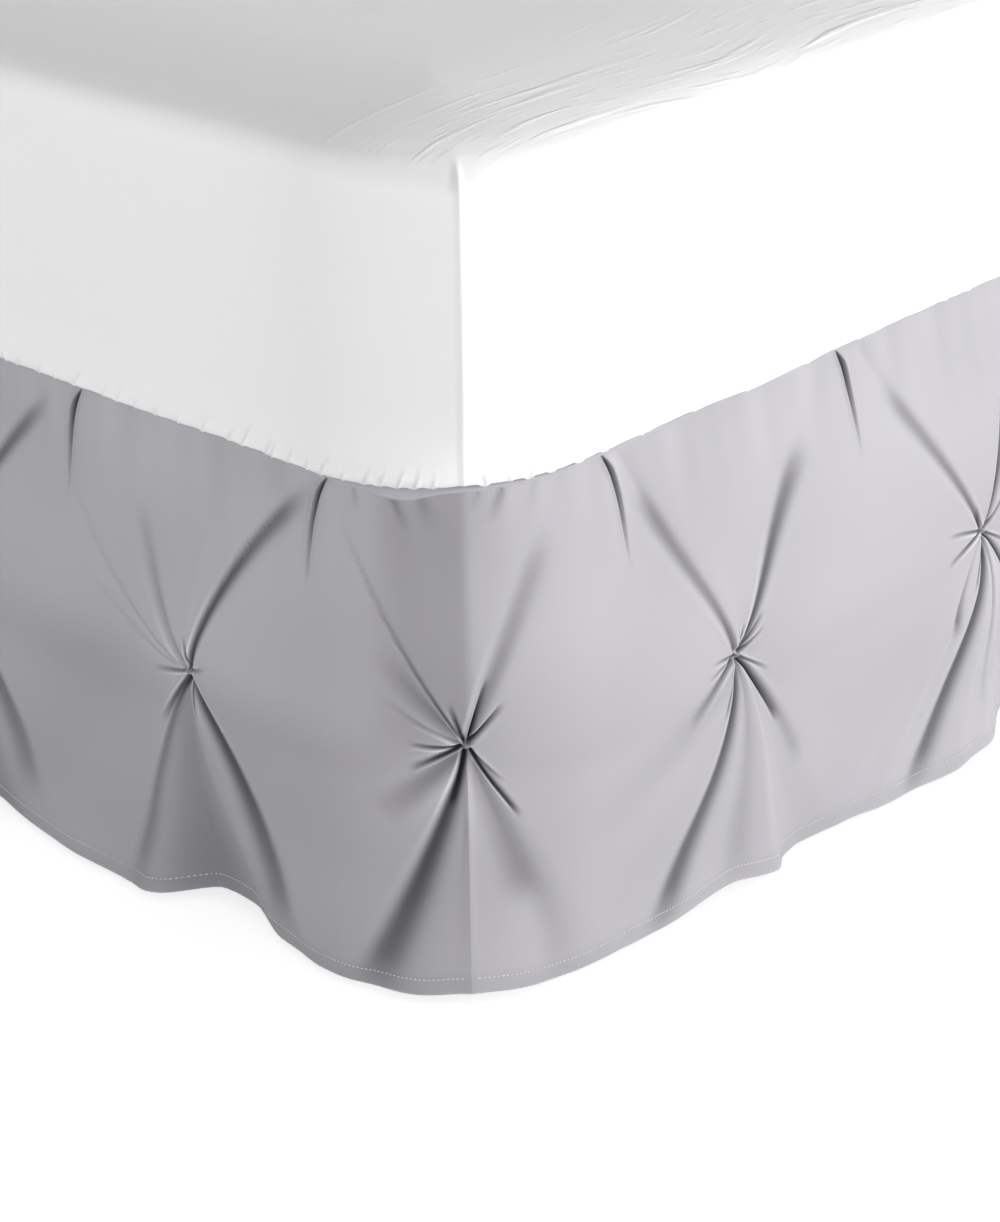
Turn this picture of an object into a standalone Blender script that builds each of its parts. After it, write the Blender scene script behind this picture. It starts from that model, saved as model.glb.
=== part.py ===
"""A pinch-pleated bed skirt, hanging round the base of a queen-size bed.

The skirt is one flat deck that lies between mattress and box spring, and three drops sewn to
its edge: foot, left and right. The head end is open. Metres, +Z up, foot of the bed at -Y.
"""

import math

import bmesh
import bpy
from mathutils import Vector

# Bed, metres
BASE_WIDTH = 1.524
BASE_LENGTH = 2.032
BASE_BOTTOM = 0.180
MATTRESS_HEIGHT = 0.229
MATTRESS_TOP_ROUNDING = 0.028
MATTRESS_FOOT_ROUNDING = 0.008
BASE_ROUNDING = 0.006

# Skirt, metres
DROP = 0.381
CLOTH = 0.002
SEAT_GAP = 0.0003
CLEARANCE = 0.003
WALL_RADIUS = 0.120
HEM_HEIGHT = 0.004

# Middle of the bed, metres: off the origin, which is the middle of the whole with its flared hems
BED_X = -0.0143
BED_Y = 0.014

# Where the drops hang: the outline of the deck's edge
OVERHANG = CLEARANCE + CLOTH
HALF_WIDTH = BASE_WIDTH / 2 + OVERHANG
HALF_LENGTH = BASE_LENGTH / 2 + OVERHANG
HALF_FOOT = HALF_WIDTH - WALL_RADIUS
CORNER_ARC = WALL_RADIUS * math.pi / 2
SIDE_STRAIGHT = 2 * (HALF_LENGTH - WALL_RADIUS)
CORNER_MIDDLE = HALF_FOOT + CORNER_ARC / 2
WALL_END = CORNER_MIDDLE + SIDE_STRAIGHT + CORNER_ARC
DROP_TOP = DROP - CLOTH - SEAT_GAP

# Steel frame, metres
TUBE = 0.038
RAIL_X = 0.700
END_RAIL_Y = 0.960
CROSS_RAIL_Y = 0.320
LEG_Y = 0.860
GLIDE_RADIUS = 0.024
GLIDE_TOP_RADIUS = 0.0205
GLIDE_HEIGHT = 0.014
GLIDE_SIDES = 16
TUBE_BEVEL = 0.003
TUBE_BEVEL_SEGMENTS = 2

# Pinches: distance past the near corner's middle, height of the knot
FOOT_PINCHES = (
    (0.216, 0.196), (0.480, 0.193), (0.722, 0.196), (0.966, 0.199), (1.222, 0.194),
)
RIGHT_PINCHES = (
    (0.229, 0.196), (0.518, 0.196), (0.764, 0.193), (1.008, 0.198),
    (1.254, 0.194), (1.500, 0.197), (1.746, 0.195),
)
LEFT_PINCHES = (
    (0.243, 0.195), (0.495, 0.199), (0.742, 0.194), (0.994, 0.196),
    (1.240, 0.199), (1.492, 0.193), (1.741, 0.197),
)
CORNER_PINCH_HEIGHT = 0.193
NEAR_SEAM_PAST = 0.007

# The drops meet in these upright seams; the near corner's was sewn a little past the middle
NEAR_SEAM = CORNER_MIDDLE + NEAR_SEAM_PAST
FAR_SEAM = -CORNER_MIDDLE

# Tucks at the top seam, half way between the pinches: distance past the corner's middle
FOOT_TUCKS = (0.083, 0.323, 0.590, 0.841, 1.092, 1.352)
RIGHT_TUCKS = (0.116, 0.370, 0.640, 0.879, 1.127, 1.374, 1.622, 1.868)
LEFT_TUCKS = (0.120, 0.369, 0.617, 0.870, 1.116, 1.366, 1.615, 1.864)
TUCK_LENGTH = 0.066
TUCK_WIDTH = 0.009
TUCK_RISE = 0.009
TUCK_LEAN = 0.30

# Folds that leave a pinch: heading in degrees from straight up, towards +run; length; half width
# at the knot and at the far end; reach out (+) or in (-) near the knot and at the far end
FOOT_FOLDS = (
    (32, 0.185, 0.009, 0.016, -0.016, 0.000),
    (20, 0.150, 0.009, 0.018, 0.008, 0.000),
    (-15, 0.110, 0.009, 0.015, -0.008, 0.000),
    (-42, 0.165, 0.009, 0.017, -0.012, 0.000),
    (-54, 0.150, 0.009, 0.018, 0.007, 0.000),
    (-97, 0.080, 0.009, 0.016, -0.007, 0.000),
    (76, 0.080, 0.009, 0.016, -0.007, 0.000),
    (141, 0.130, 0.009, 0.015, -0.013, 0.000),
    (173, 0.200, 0.010, 0.040, -0.010, -0.026),
    (205, 0.215, 0.009, 0.024, 0.005, 0.008),
    (150, 0.225, 0.009, 0.024, 0.007, 0.004),
)
SIDE_FOLDS = (
    (-30, 0.180, 0.009, 0.017, -0.016, 0.000),
    (-17, 0.150, 0.009, 0.018, 0.008, 0.000),
    (37, 0.190, 0.009, 0.017, -0.016, 0.000),
    (23, 0.150, 0.009, 0.018, 0.008, 0.000),
    (-97, 0.080, 0.009, 0.016, -0.007, 0.000),
    (84, 0.080, 0.009, 0.016, -0.007, 0.000),
    (141, 0.135, 0.009, 0.015, -0.013, 0.000),
    (158, 0.210, 0.009, 0.024, -0.003, -0.018),
    (168, 0.200, 0.009, 0.024, 0.005, 0.012),
    (197, 0.200, 0.009, 0.022, -0.013, -0.004),
)
# Below a corner's knot the drops' seam stands out, between two folds that run to the hem
CORNER_FOLDS = (
    (-29, 0.170, 0.009, 0.017, -0.014, 0.000),
    (-12, 0.140, 0.009, 0.020, 0.008, 0.000),
    (17, 0.170, 0.009, 0.017, -0.013, 0.000),
    (30, 0.150, 0.009, 0.020, 0.008, 0.000),
    (98, 0.080, 0.009, 0.016, -0.007, 0.000),
    (-98, 0.080, 0.009, 0.016, -0.007, 0.000),
    (150, 0.110, 0.009, 0.016, -0.012, 0.000),
    (180, 0.200, 0.009, 0.022, 0.005, 0.008),
    (197, 0.205, 0.009, 0.020, -0.016, -0.004),
    (164, 0.200, 0.009, 0.020, -0.010, -0.003),
)
# Where a drop hangs further out or in: distance past the near corner's middle, width, reach
SWELLS = (
    (0.520, 0.160, 0.028), (0.230, 0.100, 0.008), (-0.300, 0.060, 0.003), (-0.460, 0.080, -0.006),
    (-0.125, 0.050, -0.009), (1.250, 0.200, 0.008), (-1.000, 0.200, 0.006),
)
KNOT_SINK = 0.006
KNOT_RADIUS = 0.030
PUFF = 0.012
HEM_FLARE = 0.014
HEM_LIFT = 0.006
HEM_LIFT_WIDTH = 0.035
FOLD_REACH = 0.260
FLARE_POWER = 1.3
SWELL_POWER = 0.7
LEAST_REACH_BESIDE_BASE = 0.0015
LEAST_REACH_UNDER_BASE = -0.014
SWING_IN_TOP = BASE_BOTTOM - 0.010
SWING_IN_BLEND = 0.060
SEAM_BLEND = 0.012

# Mesh of a drop: rays from each knot to the edge of its cell, with rings across them
SIDE_HEIGHTS = (0.354, 0.318, 0.262, 0.225, 0.195, 0.160, 0.105, 0.052)
TUCK_EDGE = 0.011
NEAR_RINGS = (0.009, 0.028)
WIDEST_GAP = 0.042
CORNER_WIDEST_GAP = 0.027
LEAST_GAP = 0.011
FAR_RINGS = 2
CORNER_FAR_RINGS = 3
SEAM_HALF_GAP = 0.00015
MERGE_DISTANCE = 0.00005
FLAT_ENOUGH = 0.000001
CORNER_SEGMENTS = 8
EDGE_SEGMENTS = 3
BASE_EDGE_SEGMENTS = 2
SHARP_ANGLE = math.radians(35)


def clear_scene():
    """Remove every object of the scene that is open."""
    for old in list(bpy.data.objects):
        bpy.data.objects.remove(old, do_unlink=True)


def make_material(name, colour, roughness, metallic=0.0):
    """Make one Principled material."""
    material = bpy.data.materials.new(name)
    material.use_nodes = True
    shader = material.node_tree.nodes["Principled BSDF"]
    shader.inputs["Base Color"].default_value = (*colour, 1.0)
    shader.inputs["Roughness"].default_value = roughness
    shader.inputs["Metallic"].default_value = metallic
    material.diffuse_color = (*colour, 1.0)
    return material


def add_object(name, mesh_data, material, location=(0.0, 0.0, 0.0)):
    """Turn a bmesh into a named object with its material."""
    bmesh.ops.recalc_face_normals(mesh_data, faces=mesh_data.faces)
    mesh = bpy.data.meshes.new(name)
    mesh_data.to_mesh(mesh)
    mesh_data.free()
    mesh.materials.append(material)
    piece = bpy.data.objects.new(name, mesh)
    piece.location = location
    bpy.context.scene.collection.objects.link(piece)
    return piece


def smoothstep(value):
    """Ease from 0 to 1 as value goes from 0 to 1."""
    part = min(1.0, max(0.0, value))
    return part * part * (3.0 - 2.0 * part)


def wall_point(run, reach, height):
    """Place on the drops' wall, at a distance along it from the foot's middle, moved out by reach."""
    side = math.copysign(1.0, run)
    along = abs(run)
    past_corner = along - HALF_FOOT - CORNER_ARC
    centre_x = min(along, HALF_FOOT)
    centre_y = WALL_RADIUS - HALF_LENGTH + min(max(past_corner, 0.0), SIDE_STRAIGHT)
    turn = min(max(along - HALF_FOOT, 0.0), CORNER_ARC) / WALL_RADIUS
    turn += max(past_corner - SIDE_STRAIGHT, 0.0) / WALL_RADIUS
    x = centre_x + (WALL_RADIUS + reach) * math.sin(turn)
    y = centre_y - (WALL_RADIUS + reach) * math.cos(turn)
    return Vector((side * x + BED_X, y + BED_Y, height))


def list_pinches():
    """Every knot as its run, height and folds. The near corner is the one at +X."""
    pinches = [(seam, CORNER_PINCH_HEIGHT, CORNER_FOLDS) for seam in (FAR_SEAM, NEAR_SEAM)]
    pinches += [(CORNER_MIDDLE - past, height, FOOT_FOLDS) for past, height in FOOT_PINCHES]
    pinches += [(CORNER_MIDDLE + past, height, SIDE_FOLDS) for past, height in RIGHT_PINCHES]
    pinches += [(-CORNER_MIDDLE - past, height, FOOT_FOLDS) for past, height in LEFT_PINCHES]
    return pinches


def list_tucks():
    """The run of every tuck at the top seam."""
    tucks = [CORNER_MIDDLE - past for past in FOOT_TUCKS]
    tucks += [CORNER_MIDDLE + past for past in RIGHT_TUCKS]
    tucks += [-CORNER_MIDDLE - past for past in LEFT_TUCKS]
    return tucks


PINCHES = list_pinches()
TUCKS = list_tucks()


def fold_reach(across, up, folds):
    """Reach of the folds that leave one knot, at a place across and up from it."""
    total = 0.0
    for heading, length, near_width, far_width, near_reach, far_reach in folds:
        angle = math.radians(heading)
        along = across * math.sin(angle) + up * math.cos(angle)
        beside = across * math.cos(angle) - up * math.sin(angle)
        if along <= 0.0:
            continue
        share = min(along / length, 1.0)
        width = near_width + (far_width - near_width) * share
        rise = near_reach * (1.0 - share) ** 1.2 + far_reach * smoothstep(share)
        total += rise * smoothstep(along / near_width) * math.exp(-((beside / width) ** 2))
    return total


def cloth_reach(run, height):
    """How far the cloth stands out from the seam line, at a run and a height."""
    below_seam = (DROP_TOP - height) / DROP_TOP
    reach = HEM_FLARE * below_seam ** FLARE_POWER + PUFF * math.sin(math.pi * below_seam) ** 2
    for past, width, swell in SWELLS:
        apart = (run - CORNER_MIDDLE - past) / width
        reach += swell * below_seam ** SWELL_POWER * math.exp(-apart * apart)
    for knot_run, knot_height, folds in PINCHES:
        across, up = run - knot_run, height - knot_height
        if abs(across) < FOLD_REACH:
            fade = 1.0 - smoothstep(abs(across) / FOLD_REACH)
            reach += fade * fold_reach(across, up, folds)
            reach -= (PUFF + KNOT_SINK) * math.exp(-math.hypot(across, up) / KNOT_RADIUS)
    down = DROP_TOP - height
    for tuck_run in TUCKS:
        if down < TUCK_LENGTH:
            lean = math.copysign(TUCK_LEAN, tuck_run - CORNER_MIDDLE)
            apart = (run - tuck_run - lean * down) / TUCK_WIDTH
            reach += TUCK_RISE * (1.0 - down / TUCK_LENGTH) * math.exp(-apart * apart)
    return keep_clear(reach, height)


def keep_clear(reach, height):
    """Hold the cloth off the box spring, and let it swing in a little below it."""
    under_base = smoothstep((SWING_IN_TOP - height) / SWING_IN_BLEND)
    least = LEAST_REACH_BESIDE_BASE
    least += (LEAST_REACH_UNDER_BASE - LEAST_REACH_BESIDE_BASE) * under_base
    return max(reach, least) * smoothstep((DROP_TOP - height) / SEAM_BLEND)


def hem_lift(run, height):
    """How far the pinches draw the cloth up, all of it at the hem and none at the knots."""
    lift = 0.0
    for knot_run, knot_height, _ in PINCHES:
        share = 1.0 - smoothstep(height / knot_height)
        lift += HEM_LIFT * share * math.exp(-(((run - knot_run) / HEM_LIFT_WIDTH) ** 2))
    return lift


def spread(marks, widest):
    """Sort the marks, drop those too close together and fill the wide gaps evenly."""
    first, last = min(marks), max(marks)
    kept = [first]
    for mark in sorted(marks):
        if mark - kept[-1] > LEAST_GAP and (last - mark > LEAST_GAP or mark == last):
            kept.append(mark)
    filled = [first]
    for low, high in zip(kept, kept[1:]):
        steps = math.ceil((high - low) / widest)
        filled += [low + (high - low) * step / steps for step in range(1, steps + 1)]
    return filled


def ray_ends(knot, side, far_run):
    """Ends of the rays over one side of a knot, from straight up round to straight down."""
    knot_run, knot_height, folds = knot
    span = abs(far_run - knot_run)
    widest = CORNER_WIDEST_GAP if folds is CORNER_FOLDS else WIDEST_GAP
    headings = [math.radians(side * fold[0] % 360) for fold in folds]
    over_side = [heading for heading in headings if 0.0 < heading < math.pi]
    top_marks = [0.0, span, span - TUCK_EDGE]
    hem_marks = [0.0, span]
    for heading in over_side:
        upwards = math.cos(heading) > 0.0
        marks, level = (top_marks, DROP_TOP) if upwards else (hem_marks, HEM_HEIGHT)
        marks.append(min((level - knot_height) * math.tan(heading), span))
    top = [(across, DROP_TOP) for across in spread(top_marks, widest)]
    edge = [(span, height) for height in SIDE_HEIGHTS]
    hem = [(across, HEM_HEIGHT) for across in reversed(spread(hem_marks, widest))]
    return [(knot_run + side * across, height) for across, height in top + edge + hem]


def ray_places(knot, end):
    """Places along one ray, outwards from the knot."""
    knot_run, knot_height, folds = knot
    far_rings = CORNER_FAR_RINGS if folds is CORNER_FOLDS else FAR_RINGS
    across, up = end[0] - knot_run, end[1] - knot_height
    length = math.hypot(across, up)
    last_near = NEAR_RINGS[-1]
    rings = list(NEAR_RINGS)
    rings += [last_near + (length - last_near) * step / far_rings for step in range(1, far_rings + 1)]
    return [(knot_run + across * ring / length, knot_height + up * ring / length) for ring in rings]


def cell_faces(knot, side, far_run):
    """Faces of the half cell between a knot and the middle of the next tuck."""
    centre = knot[:2]
    rays = [ray_places(knot, end) for end in ray_ends(knot, side, far_run)]
    faces = []
    for ray, after in zip(rays, rays[1:]):
        faces.append((centre, ray[0], after[0]))
        for ring in range(len(ray) - 1):
            faces.append((ray[ring], ray[ring + 1], after[ring + 1], after[ring]))
    return faces


def end_faces(near_run, far_run):
    """Faces of the plain stretch between the last tuck and the end of a side drop."""
    side = math.copysign(1.0, far_run - near_run)
    marks = [0.0, TUCK_EDGE, abs(far_run - near_run)]
    runs = [near_run + side * mark for mark in spread(marks, CORNER_WIDEST_GAP)]
    heights = (DROP_TOP, *SIDE_HEIGHTS, HEM_HEIGHT)
    faces = []
    for run, next_run in zip(runs, runs[1:]):
        for high, low in zip(heights, heights[1:]):
            faces.append(((run, high), (next_run, high), (next_run, low), (run, low)))
    return faces


def add_drop(name, first_run, last_run, material):
    """One drop: the faces between its tucks, extruded inwards by the cloth's thickness."""
    faces = []
    for knot in PINCHES:
        for side in (-1, 1):
            far_run = min((run for run in TUCKS if (run - knot[0]) * side > 0.0),
                          key=lambda run: abs(run - knot[0]))
            if first_run - 0.001 < (knot[0] + far_run) / 2 < last_run + 0.001:
                faces += cell_faces(knot, side, far_run)
    for run in (-WALL_END, WALL_END):
        if first_run <= run <= last_run:
            last_tuck = min(TUCKS, key=lambda tuck: abs(tuck - run))
            faces += end_faces(last_tuck, run)
    return add_object(name, cloth_solid(faces, first_run, last_run), material)


def cloth_solid(faces, first_run, last_run):
    """Close flat faces of run and height into one hanging sheet of the cloth's thickness."""
    sheet = bmesh.new()
    for face in faces:
        corners = []
        for run, height in face:
            corners.append(sheet.verts.new((min(max(run, first_run), last_run), 0.0, height)))
        sheet.faces.new(corners)
    bmesh.ops.remove_doubles(sheet, verts=sheet.verts, dist=MERGE_DISTANCE)
    bmesh.ops.recalc_face_normals(sheet, faces=sheet.faces)
    flat = [(corner, corner.co.x, corner.co.z) for corner in sheet.verts]
    copy = bmesh.ops.duplicate(sheet, geom=list(sheet.faces))
    for corner, run, height in flat:
        reach = cloth_reach(run, height)
        hung = height + hem_lift(run, height)
        corner.co = wall_point(run, reach, hung)
        copy["vert_map"][corner].co = wall_point(run, reach - CLOTH, hung)
    for face in [item for item in copy["geom"] if isinstance(item, bmesh.types.BMFace)]:
        face.normal_flip()
    bmesh.ops.bridge_loops(sheet, edges=[edge for edge in sheet.edges if edge.is_boundary])
    bmesh.ops.triangulate(sheet, faces=sheet.faces)
    return sheet


def rounded_block(name, size, centre, radii, material, corner_segments=1, edge_segments=1):
    """A block with rounded upright corners and rounded top and bottom edges."""
    corner_radius, top_radius, bottom_radius = radii
    block = bmesh.new()
    bmesh.ops.create_cube(block, size=1.0)
    bmesh.ops.scale(block, vec=size, verts=block.verts)
    upright = [edge for edge in block.edges if abs(edge.verts[0].co.z - edge.verts[1].co.z) > FLAT_ENOUGH]
    bmesh.ops.bevel(block, geom=upright, offset=corner_radius, segments=corner_segments,
                    profile=0.5, affect="EDGES", clamp_overlap=True)
    for level, radius in ((size[2] / 2, top_radius), (-size[2] / 2, bottom_radius)):
        ring = [edge for edge in block.edges
                if all(abs(corner.co.z - level) < FLAT_ENOUGH for corner in edge.verts)]
        if radius > 0.0:
            bmesh.ops.bevel(block, geom=ring, offset=radius, segments=edge_segments,
                            profile=0.5, affect="EDGES", clamp_overlap=True)
    return add_object(name, block, material, (centre[0] + BED_X, centre[1] + BED_Y, centre[2]))


def add_tube(name, size, centre, material):
    """One square steel tube with its ends closed."""
    return rounded_block(name, size, centre, (TUBE_BEVEL, 0.0, 0.0), material,
                         TUBE_BEVEL_SEGMENTS)


def add_bed_base(cloth_material, sheet_material):
    """Box spring and mattress, with the deck's thickness left between them."""
    base_top = DROP - CLOTH - SEAT_GAP
    base_height = base_top - BASE_BOTTOM
    base_radii = (WALL_RADIUS - OVERHANG, BASE_ROUNDING / 3, BASE_ROUNDING)
    rounded_block("box_spring", (BASE_WIDTH, BASE_LENGTH, base_height),
                  (0.0, 0.0, BASE_BOTTOM + base_height / 2), base_radii, cloth_material,
                  CORNER_SEGMENTS, BASE_EDGE_SEGMENTS)
    mattress_bottom = DROP + SEAT_GAP
    mattress_radii = (WALL_RADIUS, MATTRESS_TOP_ROUNDING, MATTRESS_FOOT_ROUNDING)
    rounded_block("mattress", (2 * HALF_WIDTH, 2 * HALF_LENGTH, MATTRESS_HEIGHT),
                  (0.0, 0.0, mattress_bottom + MATTRESS_HEIGHT / 2), mattress_radii,
                  sheet_material, CORNER_SEGMENTS, EDGE_SEGMENTS)


def add_deck(material):
    """The skirt's flat deck, out to the seam line of the drops."""
    rounded_block("deck", (2 * HALF_WIDTH, 2 * HALF_LENGTH, CLOTH), (0.0, 0.0, DROP - CLOTH / 2),
                  (WALL_RADIUS, 0.0, 0.0), material, CORNER_SEGMENTS)


def add_glide(name, centre, material):
    """A round floor glide, flat where it stands."""
    glide = bmesh.new()
    bmesh.ops.create_cone(glide, cap_ends=True, segments=GLIDE_SIDES, radius1=GLIDE_RADIUS,
                          radius2=GLIDE_TOP_RADIUS, depth=GLIDE_HEIGHT)
    piece = add_object(name, glide, material,
                       (centre[0] + BED_X, centre[1] + BED_Y, GLIDE_HEIGHT / 2))
    piece.data.shade_smooth()
    piece.data.set_sharp_from_angle(angle=SHARP_ANGLE)


def add_frame(steel, plastic):
    """Side rails, end rails, cross rails, and six legs on glides."""
    rail_top = BASE_BOTTOM - SEAT_GAP
    rail_middle = rail_top - TUBE / 2
    side_length = 2 * END_RAIL_Y + TUBE
    inner_length = 2 * RAIL_X - TUBE - 2 * SEAT_GAP
    for side, sign in (("left", -1), ("right", 1)):
        add_tube("rail_" + side, (TUBE, side_length, TUBE), (sign * RAIL_X, 0.0, rail_middle), steel)
    rail_rows = (("rail_foot", -END_RAIL_Y), ("cross_rail_1", -CROSS_RAIL_Y),
                 ("cross_rail_2", CROSS_RAIL_Y), ("rail_head", END_RAIL_Y))
    for name, place in rail_rows:
        add_tube(name, (inner_length, TUBE, TUBE), (0.0, place, rail_middle), steel)
    leg_bottom = GLIDE_HEIGHT + SEAT_GAP
    leg_top = rail_top - TUBE - SEAT_GAP
    leg_height = leg_top - leg_bottom
    for side, sign in (("left", -1), ("right", 1)):
        for end, place in (("foot", -LEG_Y), ("middle", 0.0), ("head", LEG_Y)):
            centre = (sign * RAIL_X, place, leg_bottom + leg_height / 2)
            add_tube(f"leg_{end}_{side}", (TUBE, TUBE, leg_height), centre, steel)
            add_glide(f"glide_{end}_{side}", centre, plastic)


def build():
    """Build the bed skirt and the bed that it hangs on."""
    clear_scene()
    skirt_cloth = make_material("skirt_cloth", (0.52, 0.51, 0.55), 0.72)
    sheet_cloth = make_material("sheet_cloth", (0.90, 0.90, 0.90), 0.85)
    base_cloth = make_material("base_cloth", (0.70, 0.70, 0.69), 0.90)
    steel = make_material("frame_steel", (0.06, 0.06, 0.065), 0.45, 0.6)
    plastic = make_material("glide_plastic", (0.03, 0.03, 0.03), 0.60)
    add_frame(steel, plastic)
    add_bed_base(base_cloth, sheet_cloth)
    add_deck(skirt_cloth)
    add_drop("drop_foot", FAR_SEAM + SEAM_HALF_GAP, NEAR_SEAM - SEAM_HALF_GAP, skirt_cloth)
    add_drop("drop_right", NEAR_SEAM + SEAM_HALF_GAP, WALL_END, skirt_cloth)
    add_drop("drop_left", -WALL_END, FAR_SEAM - SEAM_HALF_GAP, skirt_cloth)


build()
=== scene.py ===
import math

import bpy
import numpy as np
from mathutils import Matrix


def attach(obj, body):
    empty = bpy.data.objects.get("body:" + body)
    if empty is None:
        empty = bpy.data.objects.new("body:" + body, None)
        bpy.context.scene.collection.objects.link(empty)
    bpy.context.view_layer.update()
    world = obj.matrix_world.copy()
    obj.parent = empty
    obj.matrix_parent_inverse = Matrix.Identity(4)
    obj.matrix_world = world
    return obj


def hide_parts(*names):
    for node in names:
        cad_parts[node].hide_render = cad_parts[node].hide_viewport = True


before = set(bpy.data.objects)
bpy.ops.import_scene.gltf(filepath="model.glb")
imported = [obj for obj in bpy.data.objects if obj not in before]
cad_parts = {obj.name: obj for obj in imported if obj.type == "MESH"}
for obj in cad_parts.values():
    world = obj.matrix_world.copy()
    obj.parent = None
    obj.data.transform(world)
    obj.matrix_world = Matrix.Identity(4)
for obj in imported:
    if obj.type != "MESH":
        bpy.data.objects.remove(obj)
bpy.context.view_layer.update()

# ---------------------------------------------------------------------------------------------
# The steel bed frame: square tube rails, cross rails and six legs, welded up and powder coated.
# The black coat has a fine orange-peel skin, and a little dust settles on what faces upwards.
# ---------------------------------------------------------------------------------------------

POWDER_BLACK = (0.055, 0.055, 0.060, 1.0)
DUST_GREY = (0.42, 0.41, 0.39, 1.0)
# slow patches of shade a metre
SKIN_PATCHES = 9.0


def add_node(tree, kind, inputs=(), **settings):
    """Add one shader node; an input is a value, a socket, or a node whose first output feeds it."""
    made = tree.nodes.new("ShaderNode" + kind)
    for name, value in settings.items():
        setattr(made, name, value)
    for name, value in dict(inputs).items():
        if isinstance(value, bpy.types.Node):
            value = value.outputs[0]
        if isinstance(value, bpy.types.NodeSocket):
            tree.links.new(value, made.inputs[name])
        else:
            made.inputs[name].default_value = value
    return made


def own_places(tree):
    """Places on the object itself, in metres."""
    return add_node(tree, "TexCoord").outputs["Object"]


def calculate(tree, operation, *values, **settings):
    """Work out one value from numbers, sockets or nodes."""
    return add_node(tree, "Math", enumerate(values), operation=operation, **settings)


def add_noise(tree, vector, scale, detail, **inputs):
    """Add a soft noise over the given places."""
    return add_node(tree, "TexNoise", {"Vector": vector, "Scale": scale, "Detail": detail, **inputs})


def blend(tree, share, colour, other):
    """Mix two colours by the share of the other."""
    return add_node(tree, "Mix", {0: share, 6: colour, 7: other}, data_type="RGBA").outputs[2]


def feed(node, sources):
    """Link inputs of a node to the sockets, or the nodes, that feed them."""
    for name, source in sources.items():
        socket = source.outputs[0] if isinstance(source, bpy.types.Node) else source
        node.id_data.links.new(socket, node.inputs[name])


def start_group(name, inputs, outputs):
    """Start a node group: inputs with their kinds and usual values, and the names of its outputs."""
    group = bpy.data.node_groups.new(name, "ShaderNodeTree")
    for socket, kind, value in inputs:
        made = group.interface.new_socket(name=socket, in_out="INPUT", socket_type="NodeSocket" + kind)
        if value is not None:
            made.default_value = value
    for socket in outputs:
        group.interface.new_socket(name=socket, in_out="OUTPUT", socket_type="NodeSocketFloat")
    return group, group.nodes.new("NodeGroupInput").outputs, group.nodes.new("NodeGroupOutput")


def start_material(name, **sockets):
    """A material whose even values sit on the shader's own sockets."""
    material = bpy.data.materials.new(name)
    material.use_nodes = True
    shader = material.node_tree.nodes["Principled BSDF"]
    for socket, value in sockets.items():
        shader.inputs[socket.replace("_", " ")].default_value = value
    return material, material.node_tree, shader


def make_dust_group():
    """Dust: a mask that grows where a surface faces up, broken by a soft noise."""
    group, given, out = start_group(
        "settled_dust", [("Amount", "Float", 0.4), ("Clump Size", "Float", 0.02)], ["Mask"])
    per_metre = calculate(group, "DIVIDE", 1.0, given["Clump Size"])
    clumps = add_noise(group, own_places(group), per_metre, 4.0, Roughness=0.6)
    facing = add_node(group, "SeparateXYZ", {0: add_node(group, "NewGeometry").outputs["Normal"]})
    upward = calculate(group, "MAXIMUM", facing.outputs["Z"], 0.0)
    both = calculate(group, "MULTIPLY", upward, clumps)
    feed(out, {"Mask": calculate(group, "MULTIPLY", both, given["Amount"])})
    return group


def make_skin_group():
    """Moulded or sprayed skin: a small even dimple pattern with a slow change of shade."""
    group, given, out = start_group(
        "fine_skin", [("Grain", "Float", 0.0012), ("Contrast", "Float", 0.2)], ["Height", "Shade"])
    place = own_places(group)
    per_metre = calculate(group, "DIVIDE", 1.0, given["Grain"])
    dimples = add_noise(group, place, per_metre, 2.0, Roughness=0.5)
    fine = calculate(group, "MULTIPLY", dimples, add_noise(group, place, SKIN_PATCHES, 3.0))
    feed(out, {"Height": dimples, "Shade": calculate(group, "MULTIPLY_ADD", fine, given["Contrast"], 1.0)})
    return group


settled_dust = make_dust_group()
fine_skin = make_skin_group()


def add_skin(tree, shader, colour, grain, contrast, roughness, strength, depth):
    """Give a shader its colour, and put the skin's dimples in its roughness and its relief."""
    skin = add_node(tree, "Group", {"Grain": grain, "Contrast": contrast}, node_tree=fine_skin)
    bump = add_node(tree, "Bump", {"Height": skin.outputs["Height"], "Strength": strength, "Distance": depth})
    rough = calculate(tree, "MULTIPLY", skin.outputs["Shade"], roughness)
    feed(shader, {"Base Color": colour, "Roughness": rough, "Normal": bump})


def make_powder_coat():
    """Black powder coat on steel, dimpled, with dust on the tops of the rails."""
    material, tree, shader = start_material("black_powder_coat", Metallic=0.0, Roughness=0.42,
                                            Specular_IOR_Level=0.5)
    dust = add_node(tree, "Group", {"Amount": 0.55, "Clump Size": 0.018}, node_tree=settled_dust)
    add_skin(tree, shader, blend(tree, dust, POWDER_BLACK, DUST_GREY), grain=0.0011, contrast=0.35,
             roughness=0.42, strength=0.25, depth=0.0004)
    return material


def cover_node(name, material):
    """Give a carried-over CAD node its material."""
    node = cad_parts[name]
    node.data.materials.clear()
    node.data.materials.append(material)


powder_coat = make_powder_coat()
for tube in ("rail_left", "rail_right", "rail_foot", "rail_head", "cross_rail_1", "cross_rail_2"):
    cover_node(tube, powder_coat)
LEG_PLACES = [f"{end}_{side}" for end in ("foot", "middle", "head") for side in ("left", "right")]
for leg in LEG_PLACES:
    cover_node("leg_" + leg, powder_coat)

# ---------------------------------------------------------------------------------------------
# The floor glides: six round feet moulded in black plastic and pushed up into the legs.
# Their skin is matt, and scuffed a little greyer in small patches all over.
# ---------------------------------------------------------------------------------------------

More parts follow.
